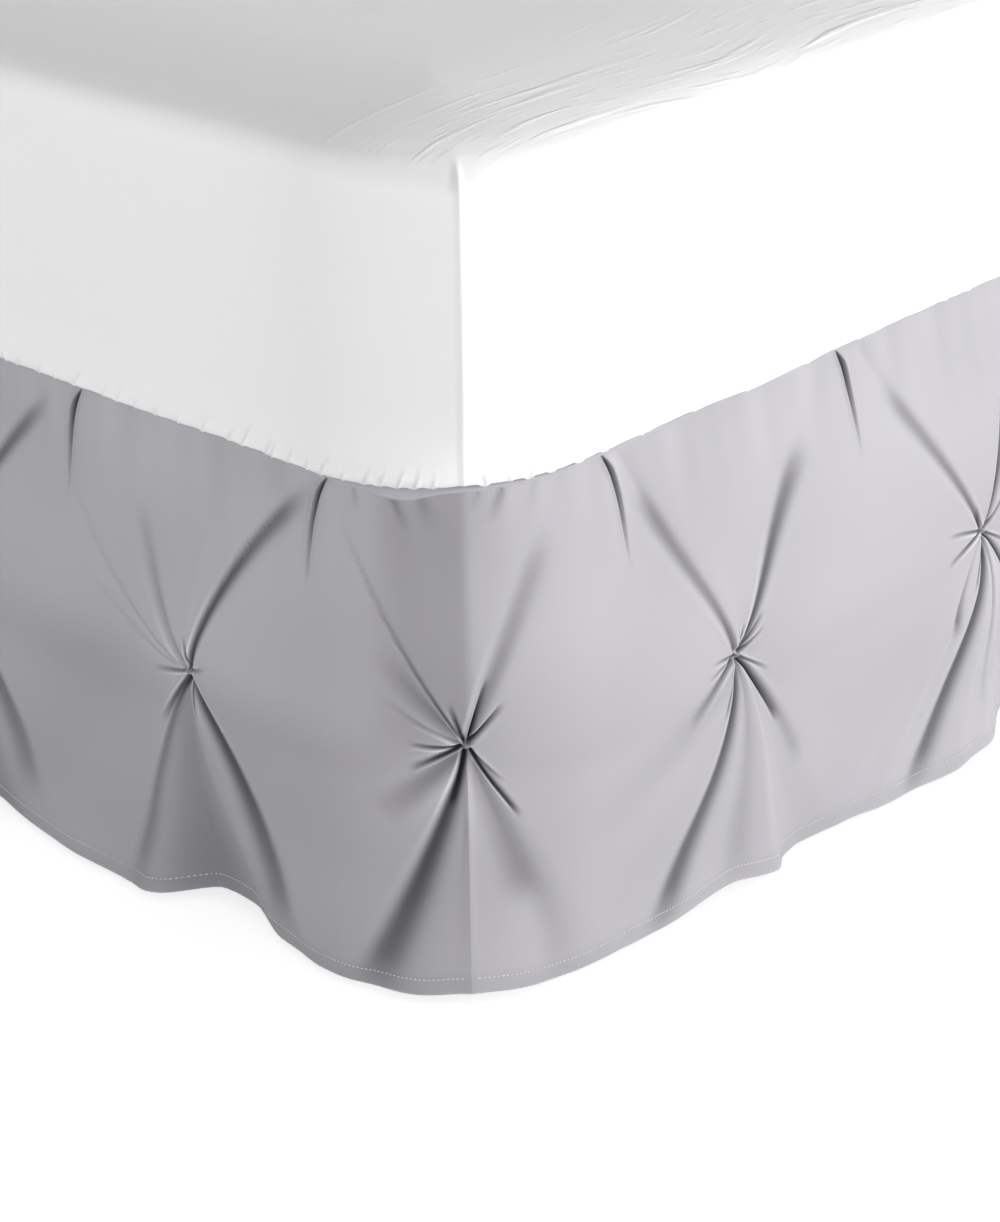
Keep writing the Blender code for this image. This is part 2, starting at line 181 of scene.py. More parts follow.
GLIDE_BLACK = (0.028, 0.028, 0.030, 1.0)
GLIDE_SCUFF = (0.10, 0.10, 0.10, 1.0)
SCUFFS_PER_METRE = 160.0


def make_moulded_plastic():
    """Matt black moulded plastic with a fine grain and scuffs."""
    material, tree, shader = start_material("moulded_black_plastic", Roughness=0.6)
    scuffs = add_noise(tree, own_places(tree), SCUFFS_PER_METRE, 5.0, Distortion=1.5)
    worn = add_node(tree, "MapRange", {"Value": scuffs, "From Min": 0.55, "From Max": 0.75})
    add_skin(tree, shader, blend(tree, worn, GLIDE_BLACK, GLIDE_SCUFF), grain=0.0007, contrast=0.3,
             roughness=0.55, strength=0.3, depth=0.0003)
    return material


moulded_plastic = make_moulded_plastic()
for leg in LEG_PLACES:
    cover_node("glide_" + leg, moulded_plastic)

# ---------------------------------------------------------------------------------------------
# The box spring: a timber frame with springs, padded at its edges and covered in woven ticking,
# which is stapled to the frame from below. Tape binds its top and bottom edges.
# ---------------------------------------------------------------------------------------------

BED_X, BED_Y = -0.0143, 0.014
# half the width, half the length and the corners' radius
BASE_OUTLINE = (0.762, 1.016, 0.115)
BASE_BOTTOM = 0.180
BASE_TOP = 0.3787
BASE_COLUMN = 0.016
# how deep a row goes in square to the outline, before it turns towards the bed's middle line
BASE_RIM = 0.110
MIDDLE_LINE = 0.35
RIM_TO_MIDDLE = 0.55
TICKING_WHITE = (0.72, 0.72, 0.70, 1.0)
TICKING_SHADOW = (0.55, 0.55, 0.54, 1.0)
SLUB_ALONG, SLUB_ACROSS = 14.0, 900.0
WOVEN_DEPTH = 0.0002
YARN_SHADE = 0.35
CLOTH_PATCHES = 5.0


def stretch_noise(group, vector, stretch, detail):
    """A noise drawn out unevenly along the axes."""
    along = add_node(group, "VectorMath", {0: vector, 1: stretch}, operation="MULTIPLY")
    return add_noise(group, along, 1.0, detail)


def make_weave_group():
    """Plain weave: yarns crossing over and under at a pitch, with slubs where a yarn is thicker."""
    group, given, out = start_group(
        "plain_weave", [("Vector", "Vector", None), ("Pitch", "Float", 0.0006), ("Slub", "Float", 0.4),
                        ("Depth", "Float", 0.15)], ["Height", "Shade"])
    turns = calculate(group, "DIVIDE", 2.0 * math.pi, given["Pitch"])
    scaled = add_node(group, "VectorMath", {0: given["Vector"], "Scale": turns}, operation="SCALE")
    split = add_node(group, "SeparateXYZ", {0: scaled})
    warp, weft = (calculate(group, "SINE", split.outputs[axis]) for axis in "XY")
    crossing = calculate(group, "MULTIPLY", warp, weft)
    thick_warp = stretch_noise(group, given["Vector"], (SLUB_ALONG, SLUB_ACROSS, 1.0), 2.0)
    thick_weft = stretch_noise(group, given["Vector"], (SLUB_ACROSS, SLUB_ALONG, 1.0), 2.0)
    centred = calculate(group, "SUBTRACT", calculate(group, "ADD", thick_warp, thick_weft), 1.0)
    uneven = calculate(group, "MULTIPLY", centred, given["Slub"])
    height = calculate(group, "MULTIPLY_ADD", crossing, 0.5, uneven)
    feed(out, {"Height": height, "Shade": calculate(group, "MULTIPLY_ADD", height, given["Depth"], 0.5)})
    return group


plain_weave = make_weave_group()


def make_cloth(name, light, dark, pitch, slub, mottle, relief, **sockets):
    """A woven cloth: its colour mottled between two close ones, and its relief as woven."""
    material, tree, shader = start_material(name, **sockets)
    place = add_node(tree, "UVMap", uv_map="cloth")
    weave = add_node(tree, "Group", {"Vector": place, "Pitch": pitch, "Slub": slub, "Depth": YARN_SHADE},
                     node_tree=plain_weave)
    cloud = add_noise(tree, own_places(tree), CLOTH_PATCHES, 3.0, Roughness=0.55)
    yarn = calculate(tree, "MULTIPLY_ADD", cloud, mottle, weave.outputs["Shade"])
    share = calculate(tree, "SUBTRACT", yarn, 0.5 * mottle, use_clamp=True)
    colour = blend(tree, share, dark, light)
    bump = add_node(tree, "Bump", {"Height": weave.outputs["Height"], "Strength": relief,
                                   "Distance": WOVEN_DEPTH})
    feed(shader, {"Base Color": colour, "Normal": bump})
    return material, tree, shader, colour, bump


def outline_point(run, half_width, half_length, corner):
    """Point and outward direction on a rounded rectangle, by run from the foot's middle to +X."""
    run = np.asarray(run, dtype=float)
    side = np.where(run < 0.0, -1.0, 1.0)
    along = np.abs(run)
    half_foot, arc = half_width - corner, corner * math.pi / 2
    straight = 2.0 * (half_length - corner)
    past = along - half_foot - arc
    turn = np.clip(along - half_foot, 0.0, arc) / corner
    turn = turn + np.clip(past - straight, 0.0, arc) / corner
    x = np.minimum(along, half_foot) - np.maximum(past - straight - arc, 0.0)
    y = corner - half_length + np.clip(past, 0.0, straight)
    out_x, out_y = np.sin(turn), -np.cos(turn)
    return side * (x + corner * out_x) + BED_X, y + corner * out_y + BED_Y, side * out_x, out_y


def half_way_round(half_width, half_length, corner):
    """Run from the foot's middle to the head's middle."""
    return 2 * (half_width - corner) + 2 * (half_length - corner) + math.pi * corner


def ring_runs(outline, spacing):
    """Runs round the whole outline, spaced by a function of the run."""
    total = half_way_round(*outline)
    runs, run = [], -total
    while run < total - 0.0005:
        runs.append(run)
        run += spacing(run)
    return np.array(runs)


def add_object(name, data):
    """Put an object in the scene."""
    made = bpy.data.objects.new(name, data)
    bpy.context.scene.collection.objects.link(made)
    return made


def add_mesh(name, points, faces, material, cloth_map=None):
    """Make a smooth-shaded mesh piece from arrays; cloth_map holds a place in metres a corner."""
    mesh = bpy.data.meshes.new(name)
    mesh.from_pydata([tuple(point) for point in points], [], [tuple(face) for face in faces])
    mesh.shade_smooth()
    if cloth_map is not None:
        layer = mesh.uv_layers.new(name="cloth")
        layer.data.foreach_set("uv", np.asarray(cloth_map, dtype=np.float32).ravel())
    mesh.materials.append(material)
    return add_object(name, mesh)


def ring_faces(rows, columns):
    """Quads between rows of a closed ring of columns."""
    row, column = np.meshgrid(np.arange(rows - 1), np.arange(columns), indexing="ij")
    after = (column + 1) % columns
    faces = np.stack([row * columns + column, (row + 1) * columns + column,
                      (row + 1) * columns + after, row * columns + after], axis=-1)
    return faces.reshape(-1, 4)


def ring_map(runs, profile, faces):
    """Cloth map of a ring: run and length down the profile, without a jump where the ring closes."""
    corner, total = faces.ravel(), abs(runs[0])
    across = runs[corner % len(runs)].reshape(-1, 4).copy()
    wraps = (across.max(axis=1) - across.min(axis=1)) > total
    across[wraps] = np.where(across[wraps] < 0.0, across[wraps] + 2 * total, across[wraps])
    down = profile[corner // len(runs)].reshape(-1, 4)
    return np.stack([across, down], axis=-1)


def add_ring(name, material, outline, columns, inset, height, rim, out=0.0, down=0.0, upwards=False,
             closed=True):
    """A piece of rows that ring the bed, each so far in and so high, with flat caps in the middle."""
    x, y, out_x, out_y = outline_point(columns, *outline)
    deep = np.minimum(inset, rim)[:, None] - out
    share = (np.maximum(inset - rim, 0.0) / RIM_TO_MIDDLE)[:, None]
    middle_y = np.clip(y, -MIDDLE_LINE + BED_Y, MIDDLE_LINE + BED_Y)
    edge_x, edge_y = x - out_x * deep, y - out_y * deep
    points = np.stack([edge_x + (BED_X - edge_x) * share, edge_y + (middle_y - edge_y) * share,
                       height[:, None] - down + 0.0 * x], axis=-1).reshape(-1, 3)
    count = len(columns)
    faces = ring_faces(len(inset), count)
    first, last = np.arange(count), np.arange(len(points) - count, len(points))
    caps = [first, last[::-1]] if closed else [first]
    if upwards:
        faces, caps = faces[:, ::-1], [cap[::-1] for cap in caps]
    length = np.concatenate([[0.0], np.cumsum(np.hypot(np.diff(inset), np.diff(height)))])
    cloth_map = [ring_map(columns, length, faces).reshape(-1, 2)] + [points[cap][:, :2] for cap in caps]
    return add_mesh(name, points, faces.tolist() + [cap.tolist() for cap in caps], material,
                    np.concatenate(cloth_map))


def make_box_spring():
    """The upholstered block: edges bound in tape, sides drawn in a little between the tapes."""
    # distance in from the outline; distance from the top, a height, or distance from the bottom
    top = ((0.600, 0.0), (0.300, 0.0), (0.080, 0.0), (0.012, 0.0004), (0.007, 0.0012), (0.0045, 0.0028),
           (0.0026, 0.006), (0.0024, 0.012), (0.0030, 0.016), (0.0048, 0.0175), (0.0046, 0.024))
    side = ((0.0040, 0.330), (0.0042, 0.290), (0.0040, 0.250))
    bottom = ((0.0046, 0.024), (0.0048, 0.0175), (0.0030, 0.016), (0.0024, 0.012), (0.0026, 0.006),
              (0.0060, 0.0020), (0.012, 0.0004), (0.030, 0.0), (0.300, 0.0), (0.600, 0.0))
    profile = [(inset, BASE_TOP - under) for inset, under in top] + list(side)
    profile += [(inset, BASE_BOTTOM + over) for inset, over in bottom]
    ticking = make_cloth("woven_ticking", TICKING_WHITE, TICKING_SHADOW, pitch=0.0011, slub=0.8, mottle=0.3,
                         relief=0.5, Roughness=0.85, Sheen_Weight=0.1)[0]
    piece = add_ring("box_spring_cover", ticking, BASE_OUTLINE,
                     ring_runs(BASE_OUTLINE, lambda run: BASE_COLUMN), *np.array(profile).T, BASE_RIM)
    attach(piece, "root")
    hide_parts("box_spring")


make_box_spring()

# ---------------------------------------------------------------------------------------------
# The deck: the skirt's platform, one sheet of the same microfibre laid on the box spring under
# the mattress. Its edge turns down over the drops' top seam, and sags a little at a foot corner.
# ---------------------------------------------------------------------------------------------

HALF_WIDTH = 0.767
HALF_LENGTH = 1.021
WALL_RADIUS = 0.120
WALL_OUTLINE = (HALF_WIDTH, HALF_LENGTH, WALL_RADIUS)
WALL_RIM = 0.118
DECK_HEIGHT = 0.3803
DECK_COLUMN = 0.0062
CORNER_ARC = WALL_RADIUS * math.pi / 2
CORNER_MIDDLE = HALF_WIDTH - WALL_RADIUS + CORNER_ARC / 2
WALL_END = CORNER_MIDDLE + 2 * (HALF_LENGTH - WALL_RADIUS) + CORNER_ARC
SKIRT_GREY = (0.415, 0.405, 0.432, 1.0)
SKIRT_SHADE = (0.385, 0.375, 0.402, 1.0)
# painted shade and painted highlight colours that the drops' cloth is mixed towards
PAINTED_SHADE_GREY = (0.012, 0.011, 0.013, 1.0)
PAINTED_HIGHLIGHT_GREY = (0.78, 0.77, 0.80, 1.0)
# the seam's sag below the deck at the foot corner: distance past the corner's middle, sag
SEAM_SAG = ((-0.085, 0.0000), (-0.063, 0.0022), (-0.039, 0.0068), (-0.026, 0.0082), (-0.016, 0.0052),
            (-0.004, 0.0024), (0.020, 0.0014), (0.052, 0.0000))


def smooth(value):
    """Ease from 0 to 1 as value goes from 0 to 1."""
    part = np.clip(value, 0.0, 1.0)
    return part * part * (3.0 - 2.0 * part)


def seam_sag(run):
    """How far the top seam hangs below the deck's edge; the far foot corner sags too, mirrored."""
    places, sags = np.array(SEAM_SAG).T
    near = np.interp(run - CORNER_MIDDLE, places, sags)
    far = np.interp(-run - CORNER_MIDDLE, places * 0.8, sags * 0.7)
    return near + far


def wall_point(run, reach, height):
    """Points on the drops' wall, moved out by reach."""
    x, y, out_x, out_y = outline_point(run, *WALL_OUTLINE)
    return np.stack([x + out_x * reach, y + out_y * reach, height + 0.0 * x], axis=-1)


def make_microfibre():
    """Brushed microfibre, mixed darker where a painted shade attribute is positive and paler where it is
    negative, as painted highlight.
    """
    material, tree, shader, colour, _ = make_cloth(
        "brushed_microfibre", SKIRT_GREY, SKIRT_SHADE, pitch=0.0005, slub=0.5, mottle=0.5, relief=0.10,
        Roughness=0.62, Sheen_Weight=0.25, Sheen_Roughness=0.45, Specular_IOR_Level=0.35)
    # painted shade where the attribute is positive, painted highlight where it is negative
    painted_crease_shade = add_node(tree, "Attribute", attribute_name="painted_shading").outputs["Fac"]
    painted_highlight_mask = calculate(tree, "MULTIPLY", painted_crease_shade, -1.0, use_clamp=True)
    dark = blend(tree, painted_crease_shade, colour, PAINTED_SHADE_GREY)
    feed(shader, {"Base Color": blend(tree, painted_highlight_mask, dark, PAINTED_HIGHLIGHT_GREY)})
    return material


microfibre = make_microfibre()


def make_deck():
    """The platform sheet, with its edge rolled over the seam."""
    columns = ring_runs(WALL_OUTLINE, lambda run: DECK_COLUMN)
    # distance in from the seam line, distance under the deck's own height
    profile = ((0.600, 0.0), (0.300, 0.0), (0.118, 0.0), (0.050, 0.0), (0.016, 0.0), (0.006, 0.0001),
               (0.002, 0.0001), (0.0004, 0.0004), (-0.0005, 0.0010), (-0.0010, 0.0018),
               (-0.0010, 0.0025), (-0.0004, 0.0030), (0.0004, 0.0031))
    inset, under = np.array(profile).T
    sag = seam_sag(columns)[None, :] * smooth((0.004 - inset) / 0.005)[:, None]
    piece = add_ring("deck_sheet", microfibre, WALL_OUTLINE, columns, inset, DECK_HEIGHT - under, WALL_RIM,
                     down=sag, closed=False)
    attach(piece, "root")
    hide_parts("deck")


make_deck()

# ---------------------------------------------------------------------------------------------
# The drops: three lengths of microfibre sewn to the deck's edge. Half way down, hand stitches gather
# each pinch into a knot; between two pinches a small tuck is caught into the top seam. The hem is
# turned up twice and machine stitched.
# ---------------------------------------------------------------------------------------------

DROP_TOP = 0.3787
HEM_HEIGHT = 0.004
HEM_DEPTH = 0.0125
NEAR_SEAM = CORNER_MIDDLE + 0.007
FAR_SEAM = -CORNER_MIDDLE
# each drop: its side, first and last run
DROPS = (("foot", FAR_SEAM, NEAR_SEAM), ("right", NEAR_SEAM, WALL_END), ("left", -WALL_END, FAR_SEAM))

# Pinches: distance past the corner's middle, height of the knot, how far out it hangs
FOOT_PINCHES = ((0.215, 0.200, 0.011), (0.480, 0.195, 0.008), (0.722, 0.196, 0.006),
                (0.966, 0.199, 0.009), (1.222, 0.194, 0.006))
RIGHT_PINCHES = ((0.231, 0.198, 0.026), (0.521, 0.197, 0.034), (0.764, 0.193, 0.015),
                 (1.008, 0.198, 0.009), (1.254, 0.194, 0.012), (1.500, 0.197, 0.008),
                 (1.746, 0.195, 0.007))
LEFT_PINCHES = ((0.243, 0.195, 0.008), (0.495, 0.199, 0.007), (0.742, 0.194, 0.009),
                (0.994, 0.196, 0.006), (1.240, 0.199, 0.008), (1.492, 0.193, 0.007),
                (1.741, 0.197, 0.006))
CORNER_PINCHES = ((NEAR_SEAM, 0.198, 0.006), (FAR_SEAM, 0.193, 0.006))
FOOT_TUCKS = (0.083, 0.323, 0.590, 0.841, 1.092, 1.352)
RIGHT_TUCKS = (0.116, 0.370, 0.640, 0.879, 1.127, 1.374, 1.622, 1.868)
LEFT_TUCKS = (0.120, 0.369, 0.617, 0.870, 1.116, 1.366, 1.615, 1.864)

# Folds that leave a knot. Columns: heading in degrees from straight up, towards +run; its bend by
# the far end; length, metres; half width near and far, mm; which side is steep, -1 left to 1
# right; depth near and far, mm, where a negative depth is a ridge; painted shade in the fold, near
# and far, 0 to 1, which also sets the painted highlight along its steep edge
FOOT_FAN = (
    (21, 13, 0.190, 2.2, 7.5, -0.3, 4.0, 3.0, 0.92, 0.64),
    (4, 10, 0.150, 2.0, 9.0, 0.0, -0.8, -0.8, 0.0, 0.0),
    (-32, 10, 0.120, 2.5, 8.0, 0.0, 3.0, 0.0, 0.30, 0.14),
    (-60, 12, 0.170, 1.2, 2.8, 0.2, 1.2, 0.8, 0.18, 0.0),
    (-72, 10, 0.130, 1.1, 3.0, 0.0, 0.8, 0.5, 0.15, 0.0),
    (-97, 0, 0.030, 1.2, 2.2, 0.0, 3.0, 0.0, 0.60, 0.0),
    (2, 0, 0.030, 1.0, 2.0, -0.4, 4.0, 0.0, 0.80, 0.0),
    (65, 0, 0.024, 1.1, 2.0, 0.0, 3.5, 0.0, 0.60, 0.0),
    (-152, 0, 0.050, 1.5, 3.5, -0.4, 4.0, 0.0, 0.85, 0.0),
    (129, 27, 0.190, 2.2, 17.0, 0.3, 3.0, 4.5, 0.80, 0.42),
    (163, 0, 0.034, 1.0, 2.0, -0.3, 4.0, 0.0, 0.80, 0.0),
    (-176, 0, 0.200, 4.0, 34.0, 0.0, 4.0, 8.0, 0.22, 0.33),
    (-160, 1, 0.200, 1.6, 9.0, -0.6, 2.5, 4.0, 0.42, 0.32),
)
CORNER_FAN = (
    (-29, 1, 0.175, 0.9, 2.2, -0.3, 1.6, 0.3, 0.42, 0.02),
    (-38, 0, 0.090, 2.5, 9.0, 0.0, 2.0, 0.0, 0.28, 0.0),
    (-17, 0, 0.036, 0.9, 2.2, 0.0, 3.5, 0.0, 0.75, 0.0),
    (12, 2, 0.050, 1.1, 2.0, -0.5, 5.0, 0.0, 1.00, 0.50),
    (15, 6, 0.145, 3.0, 9.0, -0.2, 3.0, 2.0, 0.38, 0.22),
    (25, -3, 0.150, 3.0, 9.0, 0.0, -0.7, -0.5, 0.0, 0.0),
    (34, 0, 0.038, 1.1, 2.2, -0.4, 4.5, 0.0, 1.00, 0.30),
    (-90, 8, 0.036, 0.9, 1.8, 0.0, 3.5, 0.0, 0.95, 0.10),
    (-107, -5, 0.036, 1.3, 2.8, 0.3, 4.0, 0.0, 1.00, 0.30),
    (-60, 6, 0.060, 0.9, 2.0, 0.0, 1.5, 0.0, 0.30, 0.0),
    (-130, -4, 0.075, 4.0, 12.0, 0.0, 2.5, 0.0, 0.50, 0.0),
    (-166, 0, 0.042, 1.1, 2.2, -0.5, 4.0, 0.0, 1.00, 0.60),
    (-166, 6, 0.200, 1.8, 15.0, -0.3, 5.0, 8.0, 0.80, 0.58),
    (180, 0, 0.200, 1.6, 3.2, 0.0, -1.6, -2.4, 0.0, 0.0),
    (163, -1, 0.125, 3.0, 12.0, 0.2, 3.0, 1.5, 0.30, 0.36),
    (157, 4, 0.200, 3.0, 12.0, 0.0, 1.5, 3.0, 0.06, 0.12),
    (151, -1, 0.058, 1.2, 2.0, -0.5, 6.0, 0.0, 1.00, 0.85),
    (140, 0, 0.034, 0.9, 1.8, 0.0, 3.5, 0.0, 0.80, 0.0),
)
SIDE_FAN = (
    (-29, 0, 0.160, 2.0, 8.0, 0.2, 4.0, 2.5, 0.45, 0.50),
    (-17, -3, 0.130, 2.0, 11.0, 0.0, -1.0, -0.8, 0.0, 0.0),
    (6, 0, 0.026, 0.9, 1.8, 0.0, 3.0, 0.0, 0.70, 0.0),
    (28, 8, 0.150, 1.4, 12.0, -0.1, 3.0, 1.2, 0.85, 0.52),
    (42, 0, 0.036, 1.0, 2.0, -0.4, 4.0, 0.0, 0.95, 0.20),
    (60, 0, 0.030, 0.9, 1.8, 0.0, 3.0, 0.0, 0.80, 0.0),
    (-72, -8, 0.036, 0.9, 1.8, 0.0, 3.0, 0.0, 0.90, 0.0),
    (-92, -4, 0.040, 1.0, 2.0, 0.2, 3.5, 0.0, 0.95, 0.0),
    (-112, -8, 0.066, 1.8, 6.0, 0.3, 4.0, 0.0, 0.65, 0.15),
    (-166, 7, 0.200, 1.8, 14.0, -0.3, 3.5, 3.5, 0.80, 0.70),
    (-148, 0, 0.180, 2.0, 11.0, 0.0, -1.0, -1.2, 0.0, 0.0),
    (-152, 0, 0.044, 1.1, 2.4, -0.4, 4.0, 0.0, 0.95, 0.30),
    (151, -2, 0.072, 1.5, 3.8, -0.5, 4.5, 0.0, 1.00, 0.70),
    (146, 0, 0.130, 2.0, 8.0, 0.0, 2.5, 0.0, 0.30, 0.20),
    (124, 0, 0.034, 0.9, 1.8, 0.0, 3.0, 0.0, 0.80, 0.0),
    (177, 0, 0.190, 1.2, 15.0, 0.0, 1.5, 2.0, 0.14, 0.24),
    (-120, 2, 0.170, 6.0, 24.0, 0.0, 1.0, 1.0, 0.14, 0.09),
)
NEXT_FAN = (
    (-33, -2, 0.165, 1.8, 8.0, 0.2, 4.0, 2.5, 0.50, 0.48),
    (20, 6, 0.150, 1.3, 8.0, -0.4, 4.0, 2.0, 0.95, 0.35),
    (-28, 0, 0.030, 0.9, 1.8, 0.0, 3.0, 0.0, 0.80, 0.0),
    (44, 0, 0.036, 1.0, 2.0, -0.4, 4.0, 0.0, 0.95, 0.20),
    (-70, -6, 0.050, 1.0, 2.0, 0.0, 3.0, 0.0, 0.90, 0.20),
    (-94, -8, 0.052, 1.1, 2.4, 0.2, 3.5, 0.0, 0.95, 0.30),
    (-116, -34, 0.080, 1.0, 4.0, -0.4, 1.0, 2.0, 0.10, 0.90),
    (-164, 7, 0.200, 1.6, 12.0, -0.3, 3.5, 3.5, 0.90, 0.78),
    (-152, 0, 0.044, 1.1, 2.4, -0.4, 4.0, 0.0, 0.90, 0.30),
    (178, 0, 0.150, 1.4, 5.0, 0.0, 2.0, 1.0, 0.30, 0.15),
    (148, -2, 0.080, 1.5, 4.0, -0.5, 5.0, 0.0, 1.00, 0.70),
    (120, 0, 0.034, 0.9, 1.8, 0.0, 3.0, 0.0, 0.80, 0.0),
)
# How far out the hem hangs: distance past the near corner's middle, reach
HEM_REACH = (
    (-0.458, 0.005), (-0.400, 0.011), (-0.350, 0.016), (-0.303, 0.017), (-0.275, 0.022), (-0.260, 0.016),
    (-0.250, 0.006), (-0.240, -0.005), (-0.229, -0.014), (-0.209, -0.016), (-0.191, -0.018),
    (-0.153, -0.002), (-0.128, 0.002), (-0.105, 0.006), (-0.054, 0.006), (-0.025, 0.011), (0.013, 0.013),
    (0.039, 0.010), (0.060, 0.008), (0.085, 0.010), (0.122, 0.014), (0.161, 0.018), (0.205, 0.019),
    (0.246, 0.023), (0.263, 0.028), (0.284, 0.033), (0.300, 0.022), (0.323, 0.019), (0.344, 0.022),
    (0.386, 0.028), (0.405, 0.033), (0.452, 0.037), (0.491, 0.047), (0.521, 0.045),
)
KNOT_SEED = 7
# Waves in the cloth: radians a metre along the run and up, phase, size in metres
HEM_WAVES = ((25.6, 0.0, 1.0, 0.006), (43.0, 0.0, 2.3, 0.004), (71.0, 0.0, 0.0, 0.002))
SLOW_WAVES = ((21.0, 9.0, 0.3, 0.0008), (-33.0, 24.0, 1.9, 0.0006), (47.0, -39.0, 4.1, 0.0003),
              (13.0, 51.0, 2.6, 0.0005))
# Fine lines drawn by the top seam, of one size: radians a metre along the run and down, phase, size
DRAWN_LINES = ((131.0, 9.0, 0.0, 1.0), (211.0, -14.0, 1.1, 1.0), (89.0, 0.0, 0.0, 1.0))
# Small gathers under the seam: distance past the corner's middle at the top and foot, length,
# half width, depth, all metres
GATHERS = (
    (-0.063, -0.061, 0.020, 0.0016, 0.0010), (-0.036, -0.028, 0.026, 0.0020, 0.0013),
    (-0.018, -0.012, 0.030, 0.0030, 0.0008), (0.019, 0.014, 0.016, 0.0015, 0.0010),
    (0.035, 0.026, 0.026, 0.0022, 0.0018), (0.058, 0.052, 0.022, 0.0018, 0.0006),
)
# Across a tuck, millimetres from its ridge: place, half width, amount
TUCK_SLIT = ((-1.5, 1.1, -0.60), (-4.0, 1.6, 0.20))
TUCK_TAIL = ((-2.0, 7.0, -0.35),)
# painted shade along a tuck's slit, and painted highlights beside it
TUCK_PAINTED_SHADE = ((-1.2, 1.1, 1.00), (-1.5, 4.0, 0.30))
TUCK_PAINTED_HIGHLIGHT = ((0.8, 0.7, 0.45), (-3.4, 0.7, 0.30))
TUCK_DEPTH = 0.004
TUCK_LENGTH = 0.082
TUCK_LEAN = 0.018
# How the cloth hangs between its knots, and how a knot draws it in
HEM_FLARE = 0.014
PUFF = 0.012
KNOT_SPAN = 0.30
PULL_WIDTH = 0.13
KNOT_SINK = 0.010
KNOT_RADIUS = 0.026
BUTTON_HEIGHT = 0.0030
BUTTON_RADIUS = 0.0026
HEM_LIFT = 0.006
LIFT_WIDTH = 0.035
FOLD_LIP = 0.10
# how strong the folds' painted highlight is, and how fast it fades away from a knot
RIM_LIGHT = 1.10
RIM_FADE = 0.034
# How far in from the seam line the cloth may hang beside the base, and how much further below it
REST_OVER = -0.0065
REST_UNDER = -0.0110
REST_SOFTNESS = 0.0015


def mirror_fan(fan):
    """The same folds on the other hand."""
    return tuple((-heading, -bend, length, near, far, -steep, *depths)
                 for heading, bend, length, near, far, steep, *depths in fan)


def vary_fan(fan, chance, mirrored):
    """The same folds as another pair of hands would leave them."""
    varied = []
    for heading, bend, length, near, far, steep, deep, deep_far, painted_shade_near, painted_shade_far in fan:
        varied.append((heading + chance.normal(0.0, 3.5), bend + chance.normal(0.0, 3.0),
                       length * chance.uniform(0.88, 1.08), near * chance.uniform(0.85, 1.25),
                       far * chance.uniform(0.8, 1.25), steep, deep * chance.uniform(0.75, 1.15),
                       deep_far * chance.uniform(0.5, 1.1), painted_shade_near * chance.uniform(0.7, 1.0),
                       painted_shade_far * chance.uniform(0.5, 1.1)))
    return mirror_fan(varied) if mirrored else tuple(varied)


def list_knots():
    """Every knot: run, height, reach and its fan of folds, no two fans quite alike."""
    knots = [(*CORNER_PINCHES[0], CORNER_FAN), (*CORNER_PINCHES[1], mirror_fan(CORNER_FAN))]
    chance = np.random.default_rng(KNOT_SEED)
    for number, (past, height, reach) in enumerate(FOOT_PINCHES):
        fan = FOOT_FAN if number == 0 else vary_fan(FOOT_FAN, chance, number in (2, 4))
        knots.append((CORNER_MIDDLE - past, height, reach, fan))
    for number, (past, height, reach) in enumerate(RIGHT_PINCHES):
        fan = (SIDE_FAN, NEXT_FAN)[number] if number < 2 else vary_fan(SIDE_FAN, chance, False)
        knots.append((CORNER_MIDDLE + past, height, reach, fan))
    for number, (past, height, reach) in enumerate(LEFT_PINCHES):
        fan = vary_fan(SIDE_FAN if number % 2 else FOOT_FAN, chance, True)
        knots.append((-CORNER_MIDDLE - past, height, reach, fan))
    return knots


KNOTS = list_knots()
TUCKS = ([CORNER_MIDDLE - past for past in FOOT_TUCKS] + [CORNER_MIDDLE + past for past in RIGHT_TUCKS]
         + [-CORNER_MIDDLE - past for past in LEFT_TUCKS])


def hump(value, width):
    """A round hump, 1 high where value is 0."""
    return np.exp(-(value / width) ** 2)


def humps(value, table):
    """The sum of a table's humps, each with its place, half width and amount."""
    return sum(amount * hump(value - place, width) for place, width, amount in table)


def waves(run, height, table):
    """The sum of a table's waves."""
    return sum(size * np.sin(turn * run + rise * height + phase) for turn, rise, phase, size in table)


def fan_reach(across, up, fan):
    """Reach of one knot's folds at places across and up from it, and their painted shade and painted
    highlight.
    """
    radius = np.hypot(across, up) + 1e-9
    angle = np.arctan2(across, up)
    total, open_share, painted_rim_light = np.zeros_like(radius), np.ones_like(radius), np.zeros_like(radius)
    for heading, bend, length, near, far, steep, deep, deep_far, painted_shade_near, painted_shade_far in fan:
        share = np.minimum(radius / length, 1.0)
        apart = angle - np.radians(heading + bend * share)
        apart = (apart + math.pi) % (2 * math.pi) - math.pi
        onset = smooth(radius / 0.005) * smooth((1.3 - np.abs(apart)) / 0.6)
        beside = radius * np.sin(apart) * 1000.0
        width = near + (far - near) * share
        depth = deep * (1.0 - share ** 1.3) + deep_far * share ** 1.8
        seen = steep if abs(heading) < 90 else -steep
        away = np.abs(beside) / (width * (1.0 - seen * np.sign(beside)))
        total -= 0.001 * depth * onset * (np.exp(-away ** 1.4) - FOLD_LIP * hump(away - 2.0, 0.7))
        ended = 1.0 - smooth((radius / length - 0.85) / 0.25)
        # painted shade down the fold
        painted_crease_shade = (painted_shade_near + (painted_shade_far - painted_shade_near) * share ** 2) * onset * ended
        open_share *= 1.0 - painted_crease_shade * np.exp(-(away / 0.95) ** 2.6)
        # a painted highlight along the steep side's edge, fading away from the knot
        lit_side = 0.25 + 0.75 * (0.5 + 0.5 * np.sign(beside * (seen if seen else -1.0)))
        painted_rim_light += painted_crease_shade * lit_side * hump(away - 1.75, 0.40) * np.exp(-radius / RIM_FADE)
    return total, (1.0 - open_share) - RIM_LIGHT * painted_rim_light * open_share


